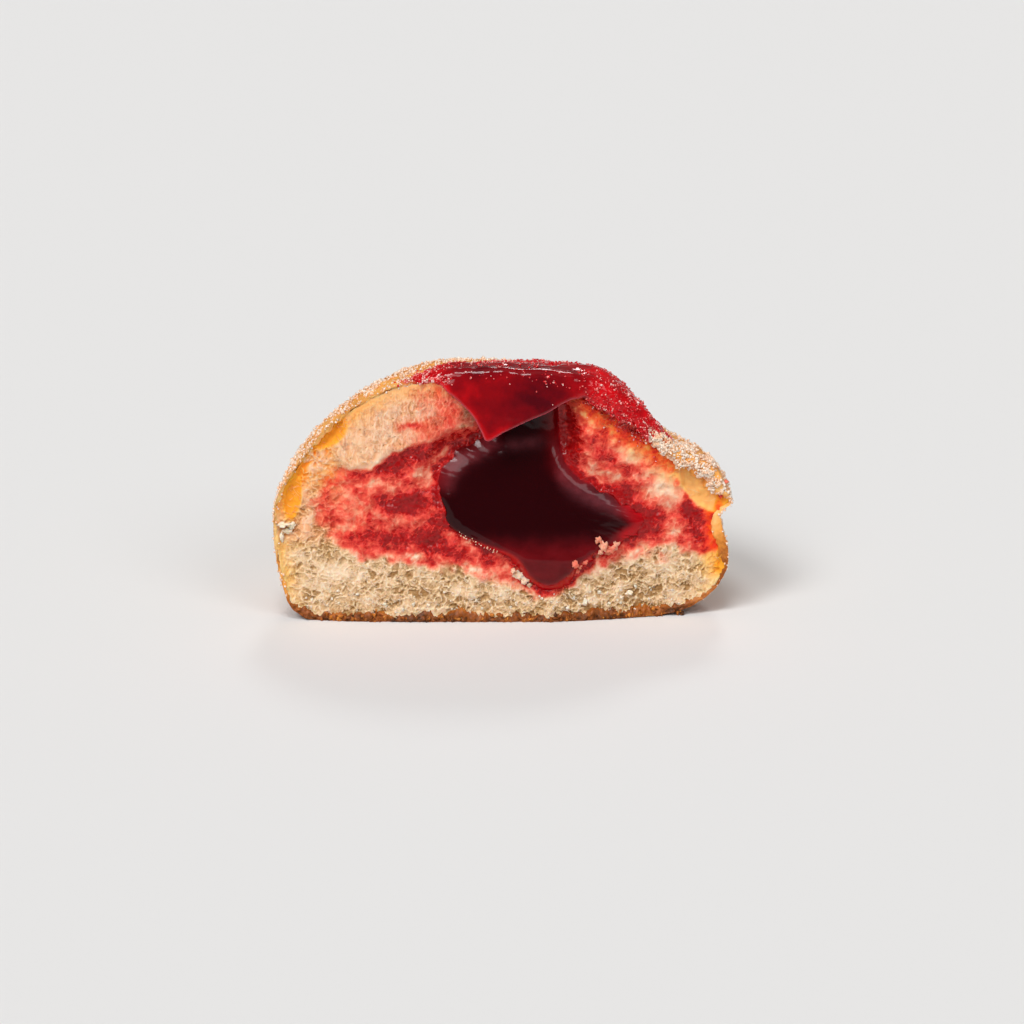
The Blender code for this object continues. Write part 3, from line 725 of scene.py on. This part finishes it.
luck = np.random.default_rng(31)
chance = (pit < 0.45) * (in_filling < -0.3) * (in_crust > 1.0) * (1 - 0.55 * soaked)
starts = pick(luck, THREADS, chance)
heading = luck.normal(0, 0.9, THREADS) + np.where(dome[starts] > 0.5, math.pi / 2, 0)
length = np.minimum(1.0 * luck.lognormal(0, 0.45, THREADS), 2.8)
t = np.linspace(0, 1, THREAD_STEPS)[None]
bow = luck.normal(0, 0.12, THREADS)[:, None] * length[:, None] * np.sin(math.pi * t)
along_x, along_z = np.cos(heading)[:, None], np.sin(heading)[:, None]
tx = x[starts][:, None] + along_x * length[:, None] * t - along_z * bow
tz = z[starts][:, None] + along_z * length[:, None] * t + along_x * bow
rows = np.clip(np.round((tz - up[0]) / CRUMB_STEP).astype(int), 0, len(up) - 1)
columns = np.clip(np.round((tx - across[0]) / CRUMB_STEP).astype(int), 0, len(across) - 1)
under = seats[rows, columns]
good = (under >= 0).all(axis=1)
good[good] = (in_filling[under[good]] < -0.2).all(axis=1) & (in_crust[under[good]] > 0.9).all(axis=1)
tx, tz, under, length = tx[good], tz[good], under[good], length[good]
near_depth = depth[under]
span = near_depth[:, :1] * (1 - t) + near_depth[:, -1:] * t
arch = luck.uniform(0.02, 0.30, len(tx))[:, None] * length[:, None] * np.sin(math.pi * t)
ty = np.minimum(span - arch, near_depth - 0.03)
ty[:, [0, -1]] += 0.12
ty += fall_back(tx, 0.0)
path = np.stack([tx, ty, tz], axis=-1)
along = np.gradient(path, axis=1)
along /= np.linalg.norm(along, axis=-1, keepdims=True)
across_it = np.cross(along, (0.13, 1.0, 0.21))
across_it /= np.linalg.norm(across_it, axis=-1, keepdims=True)
third = np.cross(along, across_it)
thick = luck.uniform(0.04, 0.075, len(tx))[:, None] * (0.5 + 0.5 * np.sin(math.pi * t))
corners = [
    path + (across_it * math.cos(a) + third * math.sin(a)) * thick[..., None]
    for a in (0.0, 2 * math.pi / 3, 4 * math.pi / 3)
]
tubes = np.stack(corners, axis=2).reshape(-1, 3)
piece_first = 3 * THREAD_STEPS * np.arange(len(tx))[:, None, None]
tube_faces = grid_faces(THREAD_STEPS, 3, wrap=True)[None] + piece_first
last = 3 * THREAD_STEPS - 1
ends = np.array(((0, 1, 2), (last, last - 1, last - 2)))[None] + piece_first
crumb_threads = add_piece(
    "crumb_threads", tubes, [tube_faces.reshape(-1, 4)[:, ::-1], ends.reshape(-1, 3)], bread_crumb
)
thread_soak = np.repeat(0.9 * soak[under].ravel(), 3)
thread_fried = np.repeat(0.8 * fried[under].ravel(), 3)
# The threads get a fixed middling pit mark, so that their painted shade matches the crumb's.
mark(crumb_threads, pit=np.full(len(tubes), 0.35), soak=thread_soak, fried=thread_fried)


# ---- Jelly filling -----------------------------------------------------------------------------
# Berry jelly, set with pectin, that welled out as the knife passed. It leans out over the crumb at
# the bottom, where a drip hangs, and draws back under the crown, where it ran up and over.

FILLING_CENTRE = np.array((6.0, 26.0))
FILLING_TOP = 48.5  # under the crust of the crown and the jelly over it
FILLING_RINGS = 70
FILLING_TURNS = len(jelly_ring)
SMOOTHING_PASSES = 10
LEVEL_RINGS = 8  # the rings round its middle that lie in one plane


def shell_faces(turns, front_rings, back_rings):
    """Faces of a closed shell, whose points lie in rings from its rim in to a tip, front then back."""
    front, back = np.arange(turns), np.arange(turns) + front_rings * turns + 1
    last_front, last_back = front + (front_rings - 1) * turns, back + (back_rings - 1) * turns
    tips = np.full(turns, last_front[-1] + 1), np.full(turns, last_back[-1] + 1)
    return [
        grid_faces(front_rings, turns, wrap=True)[:, ::-1],
        grid_faces(back_rings, turns, back[0], wrap=True),
        band(front, back),
        np.column_stack([last_front, tips[0], np.roll(last_front, -1)]),
        np.column_stack([last_back, np.roll(last_back, -1), tips[1]]),
    ]


shares = np.linspace(1, 0, FILLING_RINGS + 1)[:-1, None, None]
flat = smooth_ring + (jelly_ring - smooth_ring) * shares**8 - FILLING_CENTRE
flat = np.vstack([(FILLING_CENTRE + flat * shares).reshape(-1, 2), FILLING_CENTRE])
rim = np.maximum(inside_by(flat[:, 0], flat[:, 1], smooth_ring), 0)
y = jelly_depth(flat[:, 0], flat[:, 1], rim)
# Edges of the fold and of the ledge are soft, so the face is smoothed along its rings.
net = y[:-1].reshape(FILLING_RINGS, FILLING_TURNS)
for _ in range(SMOOTHING_PASSES):
    net[1:-1] = 0.5 * net[1:-1] + 0.25 * (net[:-2] + net[2:])
    net = 0.5 * net + 0.25 * (np.roll(net, 1, axis=1) + np.roll(net, -1, axis=1))
y = np.append(net.ravel(), net[-1].mean())
# Its middle, where the rings close up, lies in the plane through the ring that's around it.
first_level = -1 - LEVEL_RINGS * FILLING_TURNS
around = slice(first_level - FILLING_TURNS, first_level)
slope = np.column_stack([flat[around], np.ones(FILLING_TURNS)])
plane = np.linalg.lstsq(slope, y[around], rcond=None)[0]
y[first_level:] = flat[first_level:] @ plane[:2] + plane[2]
# Fine wrinkles in the skin of the jelly, strongest where it was dragged along its upper rim.
spot = on_plane(flat[:, 0] * 0.5, flat[:, 1] + 0.25 * flat[:, 0])
dragged = 0.25 + 0.75 * np.exp(-rim / 2.5) + 0.5 * smooth((flat[:, 1] - 30) / 5)
dragged += 0.9 * smooth((12 - flat[:, 1]) / 4)
y += 0.1 * smooth((13 - flat[:, 1]) / 3) * smooth(rim / 1.2) * grain(spot, 1.5, 44.0, 2)
y += dragged * smooth(rim / 0.6) * (0.07 * grain(spot, 2.6, 2.0, 2) + 0.03 * grain(spot, 0.8, 4.0, 2))
# A low, broken lip where it stopped on the lower left.
lip = np.clip(0.3 + 1.2 * grain(spot, 1.1, 33.0, 2), 0, 1) * hump((rim - 1.0) / 0.4)
y -= 0.4 * lip * smooth((3 - flat[:, 0]) / 4) * smooth((21 - flat[:, 1]) / 4)
flat[:, 1] = np.minimum(flat[:, 1], FILLING_TOP)
front = np.column_stack([flat[:, 0], y + fall_back(flat[:, 0], 0.0), flat[:, 1]])

BACK_RINGS = 12
POOL_DEPTH, NECK_DEPTH = 20.0, 6.5
rows = []
rim_y = y[:FILLING_TURNS]
for share in np.cos(np.linspace(0, math.pi / 2, BACK_RINGS + 1))[1:]:
    ring = FILLING_CENTRE + (jelly_ring - FILLING_CENTRE) * share
    deepest = POOL_DEPTH + (NECK_DEPTH - POOL_DEPTH) * smooth((ring[:, 1] - 22) / 24)
    y = rim_y * share + deepest * math.sqrt(1 - share * share) + fall_back(ring[:, 0], 0.0)
    rows.append(np.column_stack([ring[:, 0], y, np.minimum(ring[:, 1], FILLING_TOP)]))
back_points = np.vstack([*rows[:-1], rows[-1][:1]])

# Set berry jelly: clear red in a thin film, almost black where light can't get through, with a wet
# unbroken gloss. A pale mauve is mixed in by its rims: a painted reflection of the soft lights.
berry_jelly, tree, shader = new_material("set_berry_jelly")
thin = add_node(tree, "Attribute", out="Fac", attribute_name="thin")
place = add_node(tree, "TexCoord", out="Object")
pulp = add_node(tree, "TexNoise", {"Vector": place, "Scale": 1000 / 2.4, "Detail": 4.0})
pulp_shift = add_node(tree, "Math", {0: pulp, 1: 0.5, 2: -0.25}, operation="MULTIPLY_ADD")
clearer = add_node(tree, "Math", {0: thin, 1: pulp_shift}, operation="ADD", use_clamp=True)
gated = add_node(tree, "Math", {0: clearer, 1: thin}, operation="MULTIPLY")
depth_colour = add_node(
    tree, "Mix", {0: gated, 6: linear("#270104"), 7: linear("#B80612")}, out=2, data_type="RGBA"
)
cloudy = add_node(tree, "Attribute", out="Fac", attribute_name="cloudy")
clouded = add_node(tree, "Math", {0: pulp, 1: 2.0}, operation="MULTIPLY")
sheen_share = add_node(tree, "Math", {0: cloudy, 1: clouded}, operation="MULTIPLY", use_clamp=True)
# Pale mauve mixed in where the sheen mark says: painted reflection.
sheened = add_node(tree, "Mix", {
    0: sheen_share, 6: depth_colour, 7: linear("#843C44"),
}, out=2, data_type="RGBA")
set_inputs(shader, {
    "Base Color": sheened, "Roughness": 0.10, "Specular IOR Level": 0.33, "IOR": 1.36,
    "Subsurface Weight": 0.2, "Subsurface Radius": (1.0, 0.08, 0.06), "Subsurface Scale": 1.0 * MM,
})

filling = add_piece(
    "berry_jelly_filling", np.vstack([front, back_points]),
    shell_faces(FILLING_TURNS, FILLING_RINGS, BACK_RINGS - 1), berry_jelly,
)
low = 1 - smooth((flat[:, 1] - 14) / 6)
thinness = (0.35 + 0.65 * low) * (1 - smooth((rim - 0.1) / (0.7 + 1.2 * low))) + 0.45 * low
thinness += 0.45 * (1 - smooth((rim - 1) / 5)) * smooth((flat[:, 1] - 24) / 5)
thinness += 0.6 * (1 - smooth((flat[:, 1] - 6.6) / 2.2)) + 0.12 * np.exp(-rim / 2)
thinness += 0.8 * smooth((flat[:, 0] - 19 + 1.5 * grain(spot, 2.5, 9.0)) / 7) * (1 - smooth((rim - 1.5) / 3))
# A pale mauve sheen is painted in bands along its upper left rim and its right one, faintly over the
# ledge and drip, and in a spot below the tongue: painted reflection.
on_left = smooth((flat[:, 1] - 25) / 4) * smooth((2 - flat[:, 0]) / 5)
on_right = smooth((flat[:, 0] - 9) / 4) * smooth((flat[:, 1] - 19) / 5) * (1 - smooth((flat[:, 1] - 34) / 4))
sheen_band = hump((rim - 2.2) / 1.7) * (0.3 * on_left + 0.45 * on_right)
sheen_band += 0.06 * low * smooth(rim)
sheen_band += blot(flat, ((3.5, 35.5), 5.0, 1.2, 4, 0.35))
mark(filling, thin=thinness, cloudy=sheen_band)
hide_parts("jelly_filling")


# ---- Jelly on the crown ------------------------------------------------------------------------
# The same jelly where it ran out through the crown: a sheet one to two millimetres thick over the
# sugared crust, folded forward over the cut and hanging down it as a tongue with a beaded rim.

TOPPING_OUTLINE = (
    (32.5, 3.0), (30.5, 9.0), (25.5, 16.0), (17.5, 21.5), (9.5, 21.0), (3.0, 14.5),
    (-4.5, 8.6), (-11.0, 6.4), (-15.6, 4.4), (-17.2, 2.0), (-15.8, -0.2), (-13.2, -1.2),
    (-10.6, -3.1), (-7.8, -5.7), (-5.6, -8.2), (-4.2, -10.8), (-2.8, -12.9), (0.8, -11.0),
    (4.8, -9.0), (8.8, -7.0), (12.2, -4.6), (15.4, -3.2), (19.5, -4.5), (24.0, -4.2),
    (28.5, -2.6), (31.5, -0.4),
)
TOPPING_CENTRE = np.array((6.0, 2.0))
TOPPING_RINGS = 60
TOPPING_TURNS = 400
ROOT_EVERY = 4  # its hidden under side has a ring for so many of the outer side's
SHEET_THICKNESS = 1.25
ROOT_DEPTH = 1.3  # how far it sinks into the crust, which hides its under side
BEAD_RADIUS = 0.5
EDGE_ROUNDING = 0.9
TOPPING_LIFT = 0.35
TOPPING_LEAN = 0.17  # how far the tongue swings forward for its length

PLAN_STEPS = 120
plan = crust_at(np.linspace(0.5, 1.0, 160), np.linspace(0, math.pi, PLAN_STEPS + 1))
plan_reach = np.hypot(plan[..., 0], plan[..., 1])


def crown_height(x, y):
    """Height of the upper crust over points in plan, read between the turns of a coarse table."""
    turn = np.arctan2(y, x) / math.pi * PLAN_STEPS
    low = np.clip(turn.astype(int), 0, PLAN_STEPS - 1)
    reach = np.hypot(x, y)
    before, after = (
        np.array([np.interp(r, plan_reach[k, ::-1], plan[k, ::-1, 2]) for r, k in zip(reach, which)])
        for which in (low, low + 1)
    )
    return before + (after - before) * (turn - low)


def draped(x, s):
    """The points that lie s back over the crown from the edge of the cut, or down the cut."""
    back = EDGE_ROUNDING * np.logaddexp(0, s / EDGE_ROUNDING)
    down = EDGE_ROUNDING * np.logaddexp(0, -s / EDGE_ROUNDING)
    forward = TOPPING_LIFT + TOPPING_LEAN * np.maximum(down - 1.0, 0)
    return np.column_stack([x, back - forward, crown_height(x, back) - down + TOPPING_LIFT])


def film(x, s):
    """0 on the thick tongue, up to 1 where the jelly thins out over the sugar at its ends and back."""
    return np.maximum.reduce([smooth((x - 13) / 6), smooth((-x - 9) / 5), smooth((s - 4) / 7)])


even_ring = ring_of(TOPPING_OUTLINE, TOPPING_TURNS)
ring_spots = np.column_stack([even_ring, np.zeros(TOPPING_TURNS)])
strays = 2.2 * film(*even_ring.T) * (grain(ring_spots, 2.4, 6.0, 3) - 0.1)
topping_ring = even_ring - inward(even_ring) * strays[:, None]
shares = np.sin(np.linspace(1, 0, TOPPING_RINGS + 1)[:-1] * math.pi / 2)
flat = even_ring + (topping_ring - even_ring) * shares[:, None, None] ** 8
flat = TOPPING_CENTRE + (flat - TOPPING_CENTRE) * shares[:, None, None]
flat = np.vstack([flat.reshape(-1, 2), TOPPING_CENTRE])
share = np.append(np.repeat(shares, TOPPING_TURNS), 0)
x, s = flat.T
base = draped(x, s)
normal = np.cross(draped(x + 0.3, s) - draped(x - 0.3, s), draped(x, s + 0.3) - draped(x, s - 0.3))
normal /= np.linalg.norm(normal, axis=1)[:, None]
from_rim = np.maximum(inside_by(x, s, topping_ring), 0)
bead = np.sqrt(1 - (1 - np.clip(from_rim / BEAD_RADIUS, 0, 1)) ** 2)
thinned = film(x, s)
# It swells where it folds over the edge and over the lump on the right, and wrinkles behind them.
swell = 0.8 + 0.35 * hump((s - 0.9) / 1.3)
swell += blot(flat, ((19, 3), 6, 5, 0, 0.4))
wrinkled = smooth((s + 2.0) / 2.5) * (1 + thinned)
along_fold = base * (0.6, 1, 1)
swell += wrinkled * (0.2 * grain(along_fold, 2.4, 1.0, 2) + 0.12 * np.abs(grain(along_fold, 1.3, 6.0, 1)))
swell += 0.04 * grain(base, 3.4, 2.0, 2)
swell *= 1 - 0.6 * thinned * (1 - 0.5 * smooth(from_rim / 4))
outer = base + normal * (SHEET_THICKNESS * bead * swell)[:, None]
outer[:, 1] += fall_back(x, np.maximum(s, 0))
hangs = 1 - 0.75 * smooth((-s - 2) / 8)
root = base - normal * (ROOT_DEPTH * hangs * np.sqrt(1 - share**4))[:, None]
root[:, 1] += fall_back(x, np.maximum(s, 0))
root_rings = root[:-1].reshape(TOPPING_RINGS, TOPPING_TURNS, 3)[ROOT_EVERY - 1 :: ROOT_EVERY]
root = np.vstack([root_rings.reshape(-1, 3), root[-1:]])

# The same set jelly in a thin sheet: clear red over pale crust, wine red in the thick of the tongue,
# with a pink highlight painted along the bead of its rim, where it catches light.
jelly_sheet, tree, shader = new_material("thin_berry_jelly")
thin = add_node(tree, "Attribute", out="Fac", attribute_name="thin")
rim_highlight = add_node(tree, "Attribute", out="Fac", attribute_name="bead")
place = add_node(tree, "TexCoord", out="Object")
pulp = add_node(tree, "TexNoise", {"Vector": place, "Scale": 1000 / 3.0, "Detail": 5.0})
pulp_shift = add_node(tree, "Math", {0: pulp, 1: 0.9, 2: -0.45}, operation="MULTIPLY_ADD")
clearer = add_node(tree, "Math", {0: thin, 1: pulp_shift}, operation="ADD", use_clamp=True)
sheet_colour = add_node(tree, "ValToRGB", {"Fac": clearer})
set_ramp(sheet_colour, ((0.0, "#54040F"), (0.5, "#8E0610"), (1.0, "#D80F18")))
# Pink mixed in along the rim's bead: painted highlight.
rim_highlighted = add_node(
    tree, "Mix", {0: rim_highlight, 6: sheet_colour, 7: linear("#CC5866")}, out=2, data_type="RGBA"
)
gritty = add_node(tree, "Attribute", out="Fac", attribute_name="grit")
grit_cells = add_node(tree, "TexVoronoi", {"Vector": place, "Scale": 1000 / 0.8}, feature="SMOOTH_F1")
grit_height = add_node(tree, "Math", {0: grit_cells, 1: gritty}, operation="MULTIPLY")
sugar_bumps = add_node(tree, "Bump", {"Height": grit_height, "Distance": 0.25 * MM})
set_inputs(shader, {
    "Base Color": rim_highlighted, "Normal": sugar_bumps, "Roughness": 0.09, "IOR": 1.36,
    "Subsurface Weight": 0.2, "Subsurface Radius": (1.0, 0.08, 0.06), "Subsurface Scale": 1.2 * MM,
})

topping = add_piece(
    "berry_jelly_sheet", np.vstack([outer, root]),
    shell_faces(TOPPING_TURNS, TOPPING_RINGS, len(root_rings)), jelly_sheet,
)
# It's thickest on the tongue and along the fold to its left.
THICK_PARTS = (((6, -4.5), 7, 5.5, 0, 1.0), ((-4, 1), 6, 2, 0, 0.7))
wine_part = np.maximum.reduce([blot(flat, at) for at in THICK_PARTS])
thinness = 0.55 - 0.5 * wine_part + 0.25 * (1 - smooth(from_rim / 2)) * smooth((2 - x) / 4) + 0.35 * thinned
# The bead mark paints the pink highlight along the rim of the tongue.
bead_highlight = 0.9 * hump((from_rim - 0.12) / 0.14) * (s < 1) * (1 - thinned)
mark(topping, thin=thinness, bead=bead_highlight, grit=thinned * (0.4 + 0.6 * smooth(thinned - 0.3)))
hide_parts("jelly_topping")

# Around the jelly its juice has stained the crust, unevenly, for two or three millimetres.
inside_outline = inside_by(points_plan[:, 0], points_plan[:, 1], topping_ring)
seep = 1.6 * grain(np.column_stack([points_plan, np.zeros(len(points_plan))]), 3.0, 12.0, 3)
stain = smooth((inside_outline + 2.6 + seep) / 3.0) * smooth((crust_height - 33) / 5)
mark(crust, stain=stain)


# ---- Sugar -------------------------------------------------------------------------------------
# Granulated sugar: clear, blocky crystals about a third of a millimetre long, pressed into the crust
# while it was hot. Where jelly has run over them they lie in it as wet, red-stained grains.

def crystals(places, ups, sizes, seed):
    """Corners and faces of blocky crystals, each with its middle at a place and turned at random."""
    luck = np.random.default_rng(seed)
    block = np.array([(i, j, k) for i in (-1, 1) for j in (-1, 1) for k in (-1, 1)], float) / 2
    q = luck.normal(size=(len(places), 4))
    w, i, j, k = (q / np.linalg.norm(q, axis=1)[:, None]).T
    turn = np.array([
        [1 - 2 * (j * j + k * k), 2 * (i * j - k * w), 2 * (i * k + j * w)],
        [2 * (i * j + k * w), 1 - 2 * (i * i + k * k), 2 * (j * k - i * w)],
        [2 * (i * k - j * w), 2 * (j * k + i * w), 1 - 2 * (i * i + j * j)],
    ]).transpose(2, 0, 1)
    shape = block * luck.uniform(0.55, 1.0, (len(places), 1, 3)) * sizes[:, None, None]
    shape *= 1 + luck.uniform(-0.18, 0.18, shape.shape)
    corners = np.einsum("nij,npj->npi", turn, shape)
    corners += (places + ups * (0.12 * sizes)[:, None])[:, None, :]
    quads = np.array(((0, 1, 3, 2), (4, 6, 7, 5), (0, 4, 5, 1), (2, 3, 7, 6), (0, 2, 6, 4), (1, 5, 7, 3)))
    faces = quads[None] + 8 * np.arange(len(places))[:, None, None]
    return corners.reshape(-1, 3), faces.reshape(-1, 4)


SUGAR_GRAINS = 13000
FLAP_GRAINS = 1900
SUGAR_SIZE = 0.31
SOAKED_SIZE = 0.28
FORWARD = np.array([(0.0, -1.0, 0.0)])
luck = np.random.default_rng(5)
step_area = np.linalg.norm(np.cross(np.gradient(skin, axis=0), np.gradient(skin, axis=1)), axis=-1)
sx, sy, sz = skin[..., 0], skin[..., 1], skin[..., 2]
under_jelly = inside_by(sx.ravel(), sy.ravel(), topping_ring).reshape(sx.shape)
clumps = grain(skin.reshape(-1, 3), 3.0, 20.0, 3).reshape(sx.shape)
chance = step_area * (0.25 + 0.75 * smooth((sz - 14) / 16)) * smooth((sz - 2) / 4)
chance *= 1 - 0.55 * smooth((4 - sy) / 4) * (sx < 20)
chance *= np.clip(0.5 + 1.6 * clumps, 0.04, 1.6) * ((under_jelly < 0) | (sz < 38))
chance *= 1 + 3.0 * smooth((sx - 26) / 6) * smooth((sz - 23) / 4) * (1 - smooth((sy - 8) / 8))
chosen = pick(luck, SUGAR_GRAINS, chance)
where = skin.reshape(-1, 3)[chosen] + luck.normal(0, 0.14, (SUGAR_GRAINS, 3))
facing = normals.reshape(-1, 3)[chosen]

# More of it on the flap over the cut, and a little on the rest of the crust's cut edge.
on_flap = np.tile(flap, 5) + 0.015 * (rim_points[:, 2] > 6)
on_flap *= np.clip(0.5 + 1.5 * grain(rim_points, 1.8, 25.0, 2), 0.05, 1.5)
chosen = pick(luck, FLAP_GRAINS, on_flap)
where = np.vstack([where, rim_points[chosen] + luck.normal(0, 0.16, (FLAP_GRAINS, 3))])
facing = np.vstack([facing, np.repeat(FORWARD, FLAP_GRAINS, axis=0)])
# Pale sugar grains strewn along the lower left edge of the jelly stand for the glints of its wet
# edge: painted highlights.
EDGE_GLINT_GRAINS = 46
lower_left = front[: 3 * FILLING_TURNS]
lower_left = lower_left[(lower_left[:, 0] < 0) & (lower_left[:, 2] < 18.5)]
chosen = luck.integers(0, len(lower_left), EDGE_GLINT_GRAINS)
beside = luck.normal(0, (0.3, 0.1, 0.3), (EDGE_GLINT_GRAINS, 3)) - (0, 0.2, 0)
where = np.vstack([where, lower_left[chosen] + beside])
facing = np.vstack([facing, np.repeat(FORWARD, EDGE_GLINT_GRAINS, axis=0)])
sizes = SUGAR_SIZE * luck.lognormal(0, 0.3, len(where))
sizes[-EDGE_GLINT_GRAINS:] *= 0.6
corners, faces = crystals(where, facing, sizes, 6)

# Granulated sucrose: colourless crystals that scatter white together, with glassy flat faces that
# glint, and a warm tone from the crust under them.
sugar, tree, shader = new_material("granulated_sugar")
place = add_node(tree, "TexCoord", out="Object")
coarse = add_node(tree, "VectorMath", {0: place, 1: (0.7 * MM,) * 3}, operation="SNAP")
tinge = add_node(tree, "TexWhiteNoise", {"Vector": coarse})
warm = add_node(
    tree, "Mix", {0: tinge, 6: linear("#FFF3E4"), 7: linear("#FFC89A")}, out=2, data_type="RGBA"
)
set_inputs(shader, {"Base Color": warm, "Roughness": 0.18, "IOR": 1.56})
add_piece("sugar_on_crust", corners, [faces], sugar, flat=True)

SOAKED_GRAINS = 2700
STAINED_GRAINS = 1400
on_top = np.where((s > -1.5) | (thinned > 0.6), 0.3 + 0.7 * thinned, 0.01)
on_top *= 0.25 + np.clip(grain(base, 2.4, 30.0, 2), 0, 1)
on_top *= np.append(np.repeat(shares, TOPPING_TURNS), 0.01) * (0.5 + thinned)
chosen = pick(luck, SOAKED_GRAINS, on_top)
where, facing = outer[chosen], normal[chosen]
# The grains in the stain round the sheet belong with them.
near = hump((under_jelly + 1.0) / 1.6) * (sz > 36) * step_area
chosen = pick(luck, STAINED_GRAINS, near)
where = np.vstack([where, skin.reshape(-1, 3)[chosen]])
facing = np.vstack([facing, normals.reshape(-1, 3)[chosen]])
# Some have slid down with the jelly onto the crumb on the right.
SLID_GRAINS = 240
below = blot(face[:, [0, 2]], ((23.0, 41.0), 8.5, 2.0, -38, 1.0)) * (in_filling < -0.5)
chosen = pick(luck, SLID_GRAINS, below)
where = np.vstack([where, face[chosen]])
facing = np.vstack([facing, np.repeat(FORWARD, SLID_GRAINS, axis=0)])
where = where + luck.normal(0, 0.1, where.shape)
corners, faces = crystals(where, facing * 0.2, SOAKED_SIZE * luck.lognormal(0, 0.3, len(where)), 7)
# Sugar half melted into jelly: the same crystals, wet, some stained through and some pale; the palest
# pink ones also stand for glints in the jelly, as painted highlights.
red_sugar, tree, shader = new_material("sugar_wet_with_jelly")
place = add_node(tree, "TexCoord", out="Object")
coarse = add_node(tree, "VectorMath", {0: place, 1: (0.6 * MM,) * 3}, operation="SNAP")
tinge = add_node(tree, "TexWhiteNoise", {"Vector": coarse})
stained_and_glint_tone = add_node(tree, "ValToRGB", {"Fac": tinge})
set_ramp(stained_and_glint_tone, ((0.0, "#CC101A"), (0.55, "#E0222A"), (0.8, "#F6867E"), (1.0, "#FFE0D8")))
set_inputs(shader, {"Base Color": stained_and_glint_tone, "Roughness": 0.1, "IOR": 1.5})
add_piece("sugar_in_jelly", corners, [faces], red_sugar, flat=True)


# ---- Loose crumbs ------------------------------------------------------------------------------
# Bits that the knife dragged along: torn crumb stained pink on the jelly, pale crumb beside the
# drip and on the lower cut, and flakes of brown crust along the foot.

def torn_bits(places, sizes, seed, detail):
    """Points and faces of ragged lumps, and how many points each has: one at each place."""
    luck = np.random.default_rng(seed)
    pebble = bmesh.new()
    bmesh.ops.create_icosphere(pebble, subdivisions=detail, radius=1)
    ball = np.array([v.co for v in pebble.verts])
    ball_faces = np.array([[v.index for v in f.verts] for f in pebble.faces])
    pebble.free()
    points = []
    for place, size in zip(places, sizes):
        turned = ball @ np.linalg.qr(luck.normal(size=(3, 3)))[0]
        shift = 10 * luck.random()
        ragged = 1 + 0.7 * grain(turned, 0.8, shift, 3) + 0.4 * grain(turned, 0.35, shift, 2)
        points.append(place + size * turned * ragged[:, None] * luck.uniform(0.5, 1.3, 3))
    faces = ball_faces[None] + len(ball) * np.arange(len(places))[:, None, None]
    return np.vstack(points), faces.reshape(-1, 3), len(ball)


def on_cut(x0, z0, out):
    """A point that stands out by so much from the crumb or the jelly at x0, z0."""
    under = np.argmin((face[:, 0] - x0) ** 2 + (z - z0) ** 2)
    y0 = face[under, 1]
    if inside_by(np.array([x0]), np.array([z0]), jelly_ring)[0] > 0:
        y0 = front[np.argmin((front[:, 0] - x0) ** 2 + (front[:, 2] - z0) ** 2), 1]
    return np.array((x0, y0 - out, z0))


# Each bit: its place on the cut, radius, and how soaked it is.
BITS = (
    (19.0, 16.8, 0.8, 0.26), (20.0, 15.6, 0.95, 0.2), (21.2, 14.7, 1.0, 0.3), (22.3, 15.4, 0.8, 0.22),
    (20.8, 13.7, 0.6, 0.3), (19.4, 14.4, 0.7, 0.2), (14.4, 12.4, 0.7, 0.36), (15.4, 11.4, 0.65, 0.3),
    (16.2, 12.3, 0.5, 0.4), (14.9, 10.4, 0.45, 0.4), (2.2, 10.6, 0.75, 0.12), (3.3, 9.5, 0.9, 0.06),
    (4.5, 8.5, 0.7, 0.08), (5.3, 7.4, 0.55, 0.06), (25.2, 5.0, 0.6, 0.0), (23.6, 4.2, 0.5, 0.0),
    (26.4, 6.3, 0.45, 0.0), (16.4, 3.4, 0.6, 0.0), (13.0, 2.6, 0.4, 0.0), (-37.6, 4.0, 0.4, 0.0),
    (-43.1, 19.6, 0.9, 0.0), (-42.3, 18.2, 0.8, 0.0), (-43.4, 17.0, 0.7, 0.0), (-41.5, 19.3, 0.6, 0.0),
    (43.6, 26.4, 0.6, 0.5), (44.1, 25.3, 0.5, 0.7), (43.2, 24.6, 0.45, 0.6), (44.2, 27.6, 0.5, 0.4),
)
STREWN_BITS = 90
luck = np.random.default_rng(17)
bits = BITS + tuple(
    (luck.uniform(-39, 40), luck.uniform(1.4, 6), luck.uniform(0.12, 0.32), 0.0)
    for _ in range(STREWN_BITS)
)
places = [on_cut(x0, z0, 0.3 * size) for x0, z0, size, _ in bits]
lump_points, lump_faces, per_bit = torn_bits(places, [bit[2] for bit in bits], 3, 3)
loose_crumbs = add_piece("loose_crumbs", lump_points, [lump_faces], bread_crumb)
bit_soak = np.repeat([bit[3] for bit in bits], per_bit)
# The bits get a fixed light pit mark, so they take only a little painted shade.
mark(loose_crumbs, pit=np.full(len(lump_points), 0.15), soak=bit_soak, fried=[])

FLAKES = 260
flake_z = np.abs(luck.normal(0, 0.6, FLAKES)) + 0.15
flakes = np.column_stack([luck.uniform(-38, 36, FLAKES), np.zeros(FLAKES), flake_z])
flakes[:, 1] = fall_back(flakes[:, 0], 0.0) + luck.uniform(-0.2, 0.25, FLAKES)
flake_points, flake_faces, per_flake = torn_bits(flakes, luck.uniform(0.12, 0.45, FLAKES), 4, 2)
flake_points[:, 2] = np.maximum(flake_points[:, 2], 0.0)
crust_flakes = add_piece("crust_flakes", flake_points, [flake_faces], fried_crust)
flake_toast = np.repeat(np.clip(luck.normal(0.82, 0.12, FLAKES), 0.5, 1), per_flake)
mark(crust_flakes, toast=flake_toast, stain=[])
